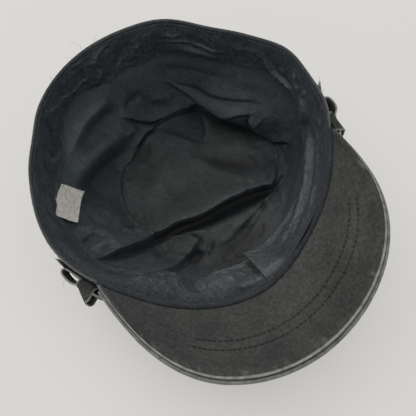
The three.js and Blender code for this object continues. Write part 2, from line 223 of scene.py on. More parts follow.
@dataclass
class Wall:
    """A wall of cloth hanging from the edge of the opening, in millimetres.

    cuts are its upright cuts, inset is how far inside the canvas edge it starts, and foot_high its lowest
    height. columns, steps, drop_step and drop_max say how finely and how far down its table is laid out.
    """

    cuts: tuple[Cut, ...]
    inset: float
    foot_high: float
    columns: int = 720
    steps: int = 96
    drop_step: float = 0.5
    drop_max: float = 150.0
    radii: np.ndarray = field(init=False)
    heights: np.ndarray = field(init=False)
    lengths: np.ndarray = field(init=False)

    def __post_init__(self) -> None:
        """Lay out a fine table of the wall by angle and by length below the edge."""
        theta = np.linspace(-math.pi, math.pi, self.columns + 1)
        hem_in, knee, knee_high = (self.column(name, theta) for name in ("hem_in", "knee", "knee_high"))
        edge = edge_radius(theta) - self.inset
        fall = np.sqrt(BAND_WIDTH**2 - hem_in**2)
        radii = np.stack((edge, edge - hem_in, knee, self.column("foot", theta)), axis=-1)
        heights = np.stack((
            edge_height(theta), edge_height(theta) - fall, knee_high, np.full_like(theta, self.foot_high),
        ), axis=-1)
        curve = spline(np.stack((radii, heights), axis=-1), self.steps)
        run = np.linalg.norm(np.diff(curve, axis=1), axis=-1)
        length = np.concatenate((np.zeros((len(theta), 1)), np.cumsum(run, axis=1)), axis=1)
        drops = np.arange(0.0, self.drop_max, self.drop_step)
        self.radii, self.heights = (
            np.array([np.interp(drops, s, c[:, k]) for s, c in zip(length, curve)]) for k in (0, 1)
        )
        self.lengths = length[:, -1]

    def column(self, name: str, theta: np.ndarray) -> np.ndarray:
        """Return one measure of the cuts at any angle."""
        return closed_curve(np.array([getattr(cut, name) for cut in self.cuts], dtype=float), theta)

    def _turn(self, theta: np.ndarray) -> np.ndarray:
        """Return the angles as places in the table."""
        return ((theta + math.pi) % (2 * math.pi)) / (2 * math.pi) * self.columns

    def length(self, theta: np.ndarray) -> np.ndarray:
        """Return the wall's length from the edge to its foot."""
        return np.interp(self._turn(theta), np.arange(self.columns + 1), self.lengths)

    def place(self, theta: np.ndarray, drop: np.ndarray, off: np.ndarray | float = 0.0) -> np.ndarray:
        """Return places on the wall.

        Args:
            theta: Angles round the cap, in radians.
            drop: Lengths below the edge of the opening.
            off: Distance from the wall's outer face, towards the inside of the cap.

        Returns:
            The places, one row each.
        """
        theta, drop = np.broadcast_arrays(np.asarray(theta, float), np.asarray(drop, float))
        turn = self._turn(theta)
        down = np.clip(drop / self.drop_step, 0, self.radii.shape[1] - 1.001)
        i, j = turn.astype(int), down.astype(int)
        u, v = turn - i, down - j
        i = np.minimum(i, self.columns - 1)

        def blend(table: np.ndarray) -> np.ndarray:
            """Return the table's value between its four nearest entries."""
            top = table[i, j] * (1 - v) + table[i, j + 1] * v
            return top * (1 - u) + (table[i + 1, j] * (1 - v) + table[i + 1, j + 1] * v) * u

        points = around(theta, blend(self.radii), np.maximum(blend(self.heights), 0.0))
        if np.any(off):
            points = points + self.inward(theta, drop) * np.asarray(off)[..., None]
        return points

    def inward(self, theta: np.ndarray, drop: np.ndarray) -> np.ndarray:
        """Return the directions square to the wall, towards the inside of the cap.

        Args:
            theta: Angles round the cap.
            drop: Lengths below the edge.

        Returns:
            Unit directions.
        """
        turn, down, clear = 0.01, 0.8, 0.1
        low = np.minimum(drop + down, self.length(theta) - clear)
        round_it = self.place(theta + turn, drop) - self.place(theta - turn, drop)
        down_it = self.place(theta, low) - self.place(theta, low - 2 * down)
        return unit(np.cross(round_it, down_it))


CANVAS_WALL = Wall(CANVAS_CUTS, 0.0, 0.0)
LINING_WALL = Wall(LINING_CUTS, BAND_CANVAS + GAP, LINING_FOOT)
CROWN_CENTRE = np.array((24.0, 22.0))


def on_lining(*spots: tuple[float, float]) -> tuple[tuple[float, float, float], ...]:
    """Return the places on the lining's wall at pairs of degrees and lengths below the edge."""
    deg, drop = np.array(spots, dtype=float).T
    return tuple(tuple(place) for place in LINING_WALL.place(np.radians(deg), drop))


# Folds and wrinkles


@dataclass(frozen=True)
class Fold:
    """One fold of the cloth, in millimetres, along a path near its surface.

    rise is towards the inside of the cap, or away from it if negative. wide is half the width on the gentle
    side and steep on the side to the left of the path, seen from inside. lean moves the fold over its steep
    side, and trough sinks the cloth beside it there. fade is the share of the path over which each end dies
    out. swell, with shares spread evenly along the path, takes its place. crisp is how sharp the crest is,
    and shade how much painted shade darkens the cloth along it. A rising fold's crest is also painted paler,
    as rubbing and painted highlight, and a sinking fold and a trough are painted darker, as painted shade.
    """

    path: tuple[tuple[float, float, float], ...]
    rise: float
    wide: float
    steep: float = 0.0
    lean: float = 0.0
    trough: float = 0.0
    fade: float = 0.3
    crisp: float = 0.35
    swell: tuple[float, ...] = ()
    shade: float = 0.0


@dataclass(frozen=True)
class Wrinkles:
    """Fine crumpling: its height and the size of its waves along x, y and z, and how ridge-like it is.

    With a reach it is kept to that distance from a middle.
    """

    height: float
    size: tuple[float, float, float]
    ridged: float = 0.5
    seed: float = 0.0
    layers: int = 3
    middle: tuple[float, float, float] = (0.0, 0.0, 0.0)
    reach: float = 0.0

    def heights(self, points: np.ndarray) -> np.ndarray:
        """Return how far each point moves, from about -height to height.

        Args:
            points: Places in millimetres.

        Returns:
            Heights in millimetres.
        """
        scaled = points / np.array(self.size) + self.seed
        total = np.zeros(len(points))
        for layer in range(self.layers):
            wave = np.array([noise.noise(Vector(p)) for p in scaled * 2.03**layer + layer * 7.7])
            ridge = 0.55 - 2.2 * np.abs(wave)
            total += (wave * 1.6 * (1 - self.ridged) + ridge * self.ridged) * 0.5**layer
        if self.reach:
            total *= bell(np.linalg.norm(points - np.array(self.middle), axis=1), self.reach)
        return total * self.height


class Creasing:
    """Moves the points of a cloth surface by its folds and wrinkles."""

    STEPS_PER_KNOT = 6
    SMOOTHING_ROUNDS = 5
    FULL_RISE = 4.0
    FULL_TROUGH = 3.0

    def __init__(
        self, folds: tuple[Fold, ...], wrinkles: tuple[Wrinkles, ...], ground: np.ndarray | None = None,
    ) -> None:
        """Keep the folds, the wrinkles and the points of the smooth cloth that the folds are laid on.

        Args:
            folds: The modelled folds.
            wrinkles: The fine wrinkles over them.
            ground: Closely spaced places on the smooth cloth.
        """
        self.folds = folds
        self.wrinkles = wrinkles
        self.ground = ground
        self.crest = self.hollow = self.shade = np.zeros(0)

    def apply(self, base: np.ndarray, normals: np.ndarray, share: np.ndarray | float = 1.0) -> np.ndarray:
        """Return the creased points, and keep how far each one stands on a crest or in a hollow.

        Args:
            base: Points of the smooth surface, one row each.
            normals: Directions towards the inside of the cap.
            share: How much of the wrinkles each point takes.

        Returns:
            The creased points.
        """
        moved = base.copy()
        self.crest, self.hollow, self.shade = (np.zeros(len(base)) for _ in range(3))
        for fold in self.folds:
            self._fold(fold, base, normals, moved)
        for wrinkles in self.wrinkles:
            height = wrinkles.heights(base) * share
            moved += normals * height[:, None]
            # Wrinkle crests are painted paler, as rubbing and painted highlight, and their hollows darker, as
            # painted shade
            self.crest += np.clip(height / max(wrinkles.height, 1e-6), 0, 1) * 0.25
            self.hollow += np.clip(-height / max(wrinkles.height, 1e-6), 0, 1) * 0.15
        return moved

    def wear_and_shading(self, worn: float, deep: float) -> np.ndarray:
        """Return how far the crests are rubbed pale, which also paints a highlight on them, less the painted
        shade in the hollows and along the folds.
        """
        return self.crest * worn - np.clip(self.hollow, 0, 1) * deep - self.shade

    def _fold(self, fold: Fold, base: np.ndarray, normals: np.ndarray, moved: np.ndarray) -> None:
        """Add one fold to the moved points.

        Args:
            fold: The fold.
            base: The smooth places.
            normals: Their directions into the cap.
            moved: The places so far, which are changed.
        """
        path = spline(np.array(fold.path, dtype=float), self.STEPS_PER_KNOT * (len(fold.path) - 1))
        ground = base if self.ground is None else self.ground
        path = np.array([ground[np.linalg.norm(ground - p, axis=1).argmin()] for p in path])
        for _ in range(self.SMOOTHING_ROUNDS):
            path[1:-1] = (path[:-2] + 2 * path[1:-1] + path[2:]) / 4
        steep = fold.steep or fold.wide
        reach = 3 * max(fold.wide, steep * 3)
        inside = (base > path.min(axis=0) - reach) & (base < path.max(axis=0) + reach)
        near = np.all(inside, axis=1).nonzero()[0]
        run = np.diff(path, axis=0)
        square = np.maximum((run**2).sum(axis=1), 1e-6)
        gaps = base[near][:, None, :] - path[None, :-1]
        shares = np.clip((gaps * run).sum(axis=-1) / square, 0, 1)
        away = gaps - shares[..., None] * run
        pick = np.linalg.norm(away, axis=-1).argmin(axis=1)
        rows = np.arange(len(near))
        along = (pick + shares[rows, pick]) / len(run)
        ways = unit(np.gradient(path, axis=0))
        bend = shares[rows, pick][:, None]
        left = unit(np.cross(normals[near], ways[pick] * (1 - bend) + ways[pick + 1] * bend))
        sideways = (away[rows, pick] * left).sum(axis=-1)
        distance = np.copysign(np.linalg.norm(away[rows, pick], axis=-1), sideways)
        side = np.where(distance > 0, steep, fold.wide)
        sharp = np.exp(-np.abs(distance) / (0.55 * side))
        hump = bell(distance, side) * (1 - fold.crisp) + sharp * fold.crisp
        if fold.swell:
            ends = np.interp(along * (len(fold.swell) - 1), np.arange(len(fold.swell)), fold.swell)
        else:
            ends = smoothstep(along, 0, fold.fade) * smoothstep(1 - along, 0, fold.fade)
        beside = bell(distance - 2.4 * steep, 1.3 * steep)
        lift = fold.rise * hump - fold.trough * beside
        moved[near] += (normals[near] * lift[:, None] + left * (fold.lean * hump)[:, None]) * ends[:, None]
        # Painted highlight, with rubbing, on a rising fold's crest; painted shade in a sinking fold, its
        # trough and along its shade
        strength = ends * min(abs(fold.rise) / self.FULL_RISE, 1)
        self.crest[near] += np.clip(np.sign(fold.rise) * hump, 0, 1) * strength
        self.hollow[near] += np.clip(-np.sign(fold.rise) * hump, 0, 1) * strength
        self.hollow[near] += beside * min(fold.trough / self.FULL_TROUGH, 1) * ends
        self.shade[near] += hump * fold.shade * ends


# Finishes


class Weave(Enum):
    """How the threads of a cloth cross."""

    PLAIN = 0.0
    TWILL = 38.0


class Nodes:
    """Adds nodes to a material's tree and joins them up."""

    def __init__(self, tree: bpy.types.NodeTree) -> None:
        """Keep the tree."""
        self.tree = tree

    def fill(self, node: bpy.types.Node, inputs: dict[str | int, object]) -> bpy.types.Node:
        """Set a node's inputs.

        Args:
            node: The node.
            inputs: For each input's name or number a value, a colour or the socket that is joined to it.

        Returns:
            The node.
        """
        for name, value in inputs.items():
            socket = node.inputs[name]
            if isinstance(value, bpy.types.NodeSocket):
                self.tree.links.new(value, socket)
            else:
                socket.default_value = (*value, 1.0) if socket.type == "RGBA" else value
        return node

    def add(self, kind: str, inputs: dict[str | int, object], **settings: object) -> bpy.types.Node:
        """Return a new node with its inputs and settings.

        Args:
            kind: The node's type.
            inputs: Values or sockets by the input's name.
            settings: The node's properties.

        Returns:
            The node.
        """
        node = self.tree.nodes.new(kind)
        for name, value in settings.items():
            setattr(node, name, value)
        return self.fill(node, inputs)

    def noise(self, place: bpy.types.NodeSocket, size: float, detail: float) -> bpy.types.NodeSocket:
        """Return noise whose waves have a size in millimetres."""
        inputs = {"Scale": 1000.0 / size, "Detail": detail, "Roughness": 0.62, "Vector": place}
        return self.add("ShaderNodeTexNoise", inputs).outputs["Fac"]

    def spread(
        self, value: bpy.types.NodeSocket, low: float, high: float, to_low: float = 0.0, to_high: float = 1.0,
    ) -> bpy.types.NodeSocket:
        """Return value, spread from low and high to to_low and to_high."""
        inputs = {"From Min": low, "From Max": high, "To Min": to_low, "To Max": to_high, "Value": value}
        return self.add("ShaderNodeMapRange", inputs).outputs["Result"]

    def mix(self, how: str, share: object, first: object, second: object) -> bpy.types.NodeSocket:
        """Return a colour mix of two sockets or colours."""
        inputs = {"Fac": share, "Color1": first, "Color2": second}
        return self.add("ShaderNodeMixRGB", inputs, blend_type=how).outputs["Color"]

    def painted(self, name: str) -> bpy.types.NodeSocket:
        """Return the value that is painted on a mesh's points under a name."""
        return self.add("ShaderNodeAttribute", {}, attribute_name=name).outputs["Fac"]


SHEEN_COLOUR = (0.62, 0.68, 0.75)
# The colour that painted shade multiplies the cloth by
PAINTED_SHADE = (0.3, 0.31, 0.335)
LINT_SIZE = 1.9
WEAR_SIZE = 4.0
FLUFF_DEPTH = 0.5


@dataclass(frozen=True)
class Cloth:
    """A cloth finish: its colours as linear red, green and blue, and its weave in millimetres.

    worn is the rubbed colour, which also serves for painted highlights and painted light. The painted light
    colour multiplies its colour where the painted light attribute is 1, as painted warm light.
    """

    name: str
    slot: str
    colour: tuple[float, float, float]
    faded: tuple[float, float, float]
    worn: tuple[float, float, float]
    weave: Weave
    pitch: float
    relief: float
    roughness: float = 0.9
    sheen: float = 0.25
    mottle: float = 26.0
    specular: float = 0.22
    grain: float = 1.0
    painted_light_colour: tuple[float, float, float] = (1.0, 1.0, 1.0)

    def material(self) -> bpy.types.Material:
        """Return the material, made once."""
        if self.name in bpy.data.materials:
            return bpy.data.materials[self.name]
        material = bpy.data.materials.new(self.name)
        material.use_nodes = True
        nodes = Nodes(material.node_tree)
        shader = nodes.fill(material.node_tree.nodes["Principled BSDF"], {
            "Roughness": self.roughness, "Specular IOR Level": self.specular, "Sheen Weight": self.sheen,
            "Sheen Roughness": 0.45, "Sheen Tint": SHEEN_COLOUR,
        })
        place = nodes.add("ShaderNodeTexCoord", {}).outputs["Object"]
        threads = self._threads(nodes)
        blotch = nodes.noise(place, self.mottle, 5.0)
        lint = nodes.noise(place, LINT_SIZE, 4.0)
        ground = nodes.mix("MIX", nodes.spread(blotch, 0.38, 0.66), self.colour, self.faded)
        lint_share = nodes.spread(lint, 0.35, 0.72, 1.0 - 0.32 * self.grain, 1.0 + 0.38 * self.grain)
        woven = nodes.mix("MULTIPLY", 0.28, nodes.mix("MULTIPLY", 1.0, ground, lint_share), threads)
        # Painted warm light: the cloth is multiplied by its painted light colour where the painted light
        # attribute is set
        with_painted_light = nodes.mix("MULTIPLY", nodes.painted("painted_light"), woven, self.painted_light_colour)

        # The painted value mixes the cloth towards its worn colour above 0, for rubbing, painted highlights
        # and painted light, and darkens it towards the painted shade colour below 0
        wear_and_shading = nodes.painted("wear_and_shading")
        patchy = nodes.spread(nodes.noise(place, WEAR_SIZE, 4.0), 0.3, 0.62, 0.35, 1.0)
        worn = nodes.add("ShaderNodeMath", {0: wear_and_shading, 1: patchy}, operation="MULTIPLY", use_clamp=True)
        with_painted_shade = nodes.mix("MULTIPLY", nodes.spread(wear_and_shading, 0.0, -1.0), with_painted_light, PAINTED_SHADE)
        final = nodes.mix("MIX", worn.outputs["Value"], with_painted_shade, self.worn)

        bump = nodes.add("ShaderNodeBump", {
            "Strength": 0.55, "Distance": self.relief * MM, "Height": threads,
        })
        fluff = nodes.add("ShaderNodeBump", {
            "Strength": 0.6, "Distance": FLUFF_DEPTH * MM, "Height": lint, "Normal": bump.outputs["Normal"],
        })
        nodes.fill(shader, {"Base Color": final, "Normal": fluff.outputs["Normal"]})
        return material

    def _threads(self, nodes: Nodes) -> bpy.types.NodeSocket:
        """Return the brightness of the threads: one band for each, along and across the cloth.

        Args:
            nodes: The finish's nodes.

        Returns:
            The socket with the brightness.
        """
        uv = nodes.add("ShaderNodeUVMap", {}, uv_map="cloth")
        angle = (0.0, 0.0, math.radians(self.weave.value))
        turn = nodes.add("ShaderNodeMapping", {"Rotation": angle, "Vector": uv.outputs["UV"]})
        bands = [
            nodes.add("ShaderNodeTexWave", {
                "Scale": share * math.pi / 10.0 / (self.pitch / UV_UNIT), "Distortion": 0.6, "Detail": 1.0,
                "Vector": turn.outputs["Vector"],
            }, bands_direction=way).outputs["Color"]
            for way, share in (("X", 1.0), ("Y", 1.0 if self.weave is Weave.PLAIN else 0.45))
        ]
        return nodes.mix("MULTIPLY", 0.6, *bands)


CANVAS = Cloth(
    "washed_canvas", "canvas", (0.024, 0.0240, 0.0230), (0.036, 0.0358, 0.0335), (0.20, 0.20, 0.185),
    Weave.TWILL, 0.75, 0.16, 0.92, 0.06,
)
WORN_CANVAS = Cloth(
    "rubbed_canvas", "worn_canvas", (0.075, 0.075, 0.070), (0.12, 0.12, 0.112), (0.28, 0.28, 0.265),
    Weave.TWILL, 0.75, 0.16, 0.92, 0.06,
)
STRAP_CANVAS = Cloth(
    "strap_canvas", "worn_canvas", (0.030, 0.030, 0.0285), (0.048, 0.0475, 0.044), (0.24, 0.24, 0.225),
    Weave.TWILL, 0.75, 0.16, 0.92, 0.06, 6.0,
)
# Lining: the last colour is painted warm light on the crown and at the front
LINING = Cloth(
    "lining_cotton", "lining", (0.0165, 0.0202, 0.0237), (0.0222, 0.0265, 0.0307), (0.048, 0.056, 0.064),
    Weave.PLAIN, 0.5, 0.07, 0.7, 0.05, 26.0, 0.31, 1.2, (1.01, 0.885, 0.81),
)
# Sweatband: the last colour is painted brighter, warmer light over the forehead
BAND_CLOTH = Cloth(
    "sweatband_twill", "band_cloth",
    (0.0145, 0.0170, 0.0207), (0.0224, 0.0258, 0.0308), (0.058, 0.063, 0.071),
    Weave.TWILL, 0.9, 0.14, 0.6, 0.06, 26.0, 0.4, 2.2, (1.32, 1.18, 1.08),
)
LABEL_CLOTH = Cloth(
    "label_satin", "label_cloth", (0.285, 0.275, 0.24), (0.345, 0.33, 0.29), (0.44, 0.42, 0.38),
    Weave.PLAIN, 0.35, 0.04, 0.6, 0.1,
)
BINDING = Cloth(
    "binding_twill", "band_cloth", (0.0120, 0.0132, 0.0152), (0.020, 0.0215, 0.0240), (0.06, 0.063, 0.068),
    Weave.TWILL, 0.9, 0.14, 0.85, 0.04, 8.0, 0.2,
)
DARK_THREAD = Cloth(
    "sewing_thread", "band_cloth", (0.008, 0.008, 0.008), (0.012, 0.012, 0.0115), (0.03, 0.03, 0.03),
    Weave.PLAIN, 0.4, 0.05, 0.8, 0.05,
)


# Making pieces


def link_new(name: str, data: bpy.types.ID) -> bpy.types.Object:
    """Return a new object in the scene.

    Args:
        name: Its name.
        data: Its mesh, light or camera.

    Returns:
        The object.
    """
    made = bpy.data.objects.new(name, data)
    bpy.context.scene.collection.objects.link(made)
    return made


def mesh_of(shape: bmesh.types.BMesh, name: str) -> bpy.types.Mesh:
    """Return a new mesh of the shape, and let the shape go.

    Args:
        shape: The shape, which can't be used afterwards.
        name: The mesh's name.

    Returns:
        The mesh.
    """
    mesh = bpy.data.meshes.new(name)
    shape.to_mesh(mesh)
    shape.free()
    return mesh


def paint(mesh: bpy.types.Mesh, name: str, values: np.ndarray) -> None:
    """Keep one value for each point of the mesh under a name."""
    mesh.attributes.new(name, "FLOAT", "POINT").data.foreach_set("value", values)


def add_object(name: str, mesh: bpy.types.Mesh, cloth: Cloth) -> bpy.types.Object:
    """Return a new object of the mesh, dressed, smooth shaded and riding with the cap.

    Args:
        name: The piece's name.
        mesh: Its mesh, in metres.
        cloth: Its finish.

    Returns:
        The object.
    """
    mesh.materials.append(cloth.material())
    mesh.polygons.foreach_set("use_smooth", np.ones(len(mesh.polygons), dtype=bool))
    piece = link_new(name, mesh)
    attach(piece, ROOT)
    LOG.info("%s: %d faces", name, len(mesh.polygons))
    return piece


@dataclass
class Sheet:
    """A cloth piece made from a grid: its name, finish, size and how finely it is cut, in millimetres."""

    name: str
    cloth: Cloth
    width: float
    length: float
    columns: int
    rows: int
    thick: float
    closed: bool = False

    def build(
        self, shape: Shape, wear_and_shading: Shape | None = None, outward: Shape | None = None,
        painted_light: Shape | None = None,
    ) -> bpy.types.Object:
        """Make the piece.

        Args:
            shape: Gives the places for two arrays of shares of the width and the length.
            wear_and_shading: Gives how worn the cloth is there, with painted highlight and light, up to 1, or
                how much painted shade darkens it, down to -1.
            outward: Gives the directions that the shown face looks in.
            painted_light: Gives how much of the finish's painted light colour the cloth takes there, as
                painted warm light.

        Returns:
            The object, with its thickness as a modifier.
        """
        grid = bmesh.new()
        bmesh.ops.create_grid(grid, x_segments=self.columns, y_segments=self.rows, size=0.5)
        shares = np.array([v.co for v in grid.verts])[:, :2] + 0.5
        across, down = shares[:, 0], shares[:, 1]
        places = (shape(across, down) + CAP_PLACE) * MM
        for vertex, place in zip(grid.verts, places):
            vertex.co = place
        mesh = mesh_of(grid, self.name)

        corners = np.empty(len(mesh.loops), dtype=int)
        mesh.loops.foreach_get("vertex_index", corners)
        layer = mesh.uv_layers.new(name="cloth")
        cut = shares * np.array((self.width, self.length)) / UV_UNIT
        layer.data.foreach_set("uv", cut[corners].ravel())
        for name, given, low in (("wear_and_shading", wear_and_shading, -1), ("painted_light", painted_light, 0)):
            values = np.zeros(len(shares)) if given is None else np.clip(given(across, down), low, 1)
            paint(mesh, name, values)
        self._close(mesh)
        if outward is not None:
            self._face(mesh, outward, across, down, places)
        piece = add_object(self.name, mesh, self.cloth)
        layer_mod = piece.modifiers.new("thickness", "SOLIDIFY")
        layer_mod.thickness = self.thick * MM
        layer_mod.offset = -1.0
        return piece

    def _close(self, mesh: bpy.types.Mesh) -> None:
        """Join the two ends of a piece that runs right round.

        Args:
            mesh: The mesh, which is changed.
        """
        if not self.closed:
            return
        joined = bmesh.new()
        joined.from_mesh(mesh)
        open_ends = [v for v in joined.verts if v.is_boundary]
        bmesh.ops.remove_doubles(joined, verts=open_ends, dist=1e-6)
        joined.to_mesh(mesh)
        joined.free()

    def _face(
        self, mesh: bpy.types.Mesh, outward: Shape, across: np.ndarray, down: np.ndarray, places: np.ndarray,
    ) -> None:
        """Turn the faces over if they look against the direction that outward gives at the middle.

        Args:
            mesh: The mesh, which is changed.
            outward: Gives the way that the face looks.
            across: Shares of the way across.
            down: Shares of the way down.
            places: The grid's places.
        """
        middle = int(np.argmin((across - 0.37) ** 2 + (down - 0.5) ** 2))
        target = outward(across[middle:middle + 1], down[middle:middle + 1])[0]
        near = min(mesh.polygons, key=lambda f: (Vector(places[middle]) - f.center).length)
        if near.normal.dot(Vector(target)) < 0:
            mesh.flip_normals()


def tube(
    name: str, path: np.ndarray, radius: float, cloth: Cloth, sides: int = 2, worn: float = 0.0,
) -> bpy.types.Object:
    """Return a round cord or thread along a path.

    Args:
        name: The piece's name.
        path: Places in millimetres.
        radius: The cord's radius.
        cloth: Its finish.
        sides: How finely it is rounded.
        worn: How worn it is, up to 1.

    Returns:
        The object.
    """
    curve = bpy.data.curves.new(name, "CURVE")
    curve.dimensions = "3D"
    line = curve.splines.new("POLY")
    line.points.add(len(path) - 1)
    for point, place in zip(line.points, (path + CAP_PLACE) * MM):
        point.co = (*place, 1.0)
    curve.bevel_depth = radius * MM
    curve.bevel_resolution = sides
    curve.use_fill_caps = True
    holder = link_new(name, curve)
    mesh = bpy.data.meshes.new_from_object(holder)
    bpy.data.objects.remove(holder)
    bpy.data.curves.remove(curve)
    mesh.name = name
    if not mesh.uv_layers:
        mesh.uv_layers.new(name="cloth")
    mesh.uv_layers[0].name = "cloth"
    paint(mesh, "wear_and_shading", np.full(len(mesh.vertices), worn))
    mesh.materials.clear()
    return add_object(name, mesh, cloth)


@dataclass(frozen=True)
class Stitch:
    """A row's stitch: its length, the gap to the next and its width, in millimetres.

    stands is how far its middle is off the cloth, as a share of its width.
    """

    length: float = 2.3
    gap: float = 1.2
    wide: float = 0.5
    stands: float = 0.2

    def row(self, name: str, path: np.ndarray, out: np.ndarray) -> bpy.types.Object:
        """Return a row of stitches along a path, half sunk in the cloth.

        Args:
            name: The piece's name.
            path: Closely spaced places in millimetres.
            out: The cloth's directions there.

        Returns:
            The object.
        """
        length = run_lengths(path)
        count = max(1, int(length[-1] // (self.length + self.gap)))
        centres = (np.arange(count) + 0.5) * length[-1] / count
        ends = [read_off(centres + k * self.length / 2, length, path) for k in (-1, 1)]
        normals = unit(read_off(centres, length, out))
        row = bmesh.new()
        sizes = Matrix.Diagonal((self.length / 2 * MM, self.wide / 2 * MM, self.wide / 2 * MM, 1.0))
        for start, end, up in zip(*ends, normals):
            along = unit(end - start)
            side = unit(np.cross(up, along))
            up = np.cross(along, side)
            turn = Matrix(np.stack((along, side, up), axis=-1).tolist()).to_4x4()
            middle = Matrix.Translation(((start + end) / 2 + up * self.wide * self.stands + CAP_PLACE) * MM)
            place = middle @ turn @ sizes
            bmesh.ops.create_uvsphere(row, u_segments=6, v_segments=5, radius=1.0, matrix=place)
        mesh = mesh_of(row, name)
        mesh.uv_layers.new(name="cloth")
        mesh.attributes.new("wear_and_shading", "FLOAT", "POINT")
        return add_object(name, mesh, DARK_THREAD)


# Lining


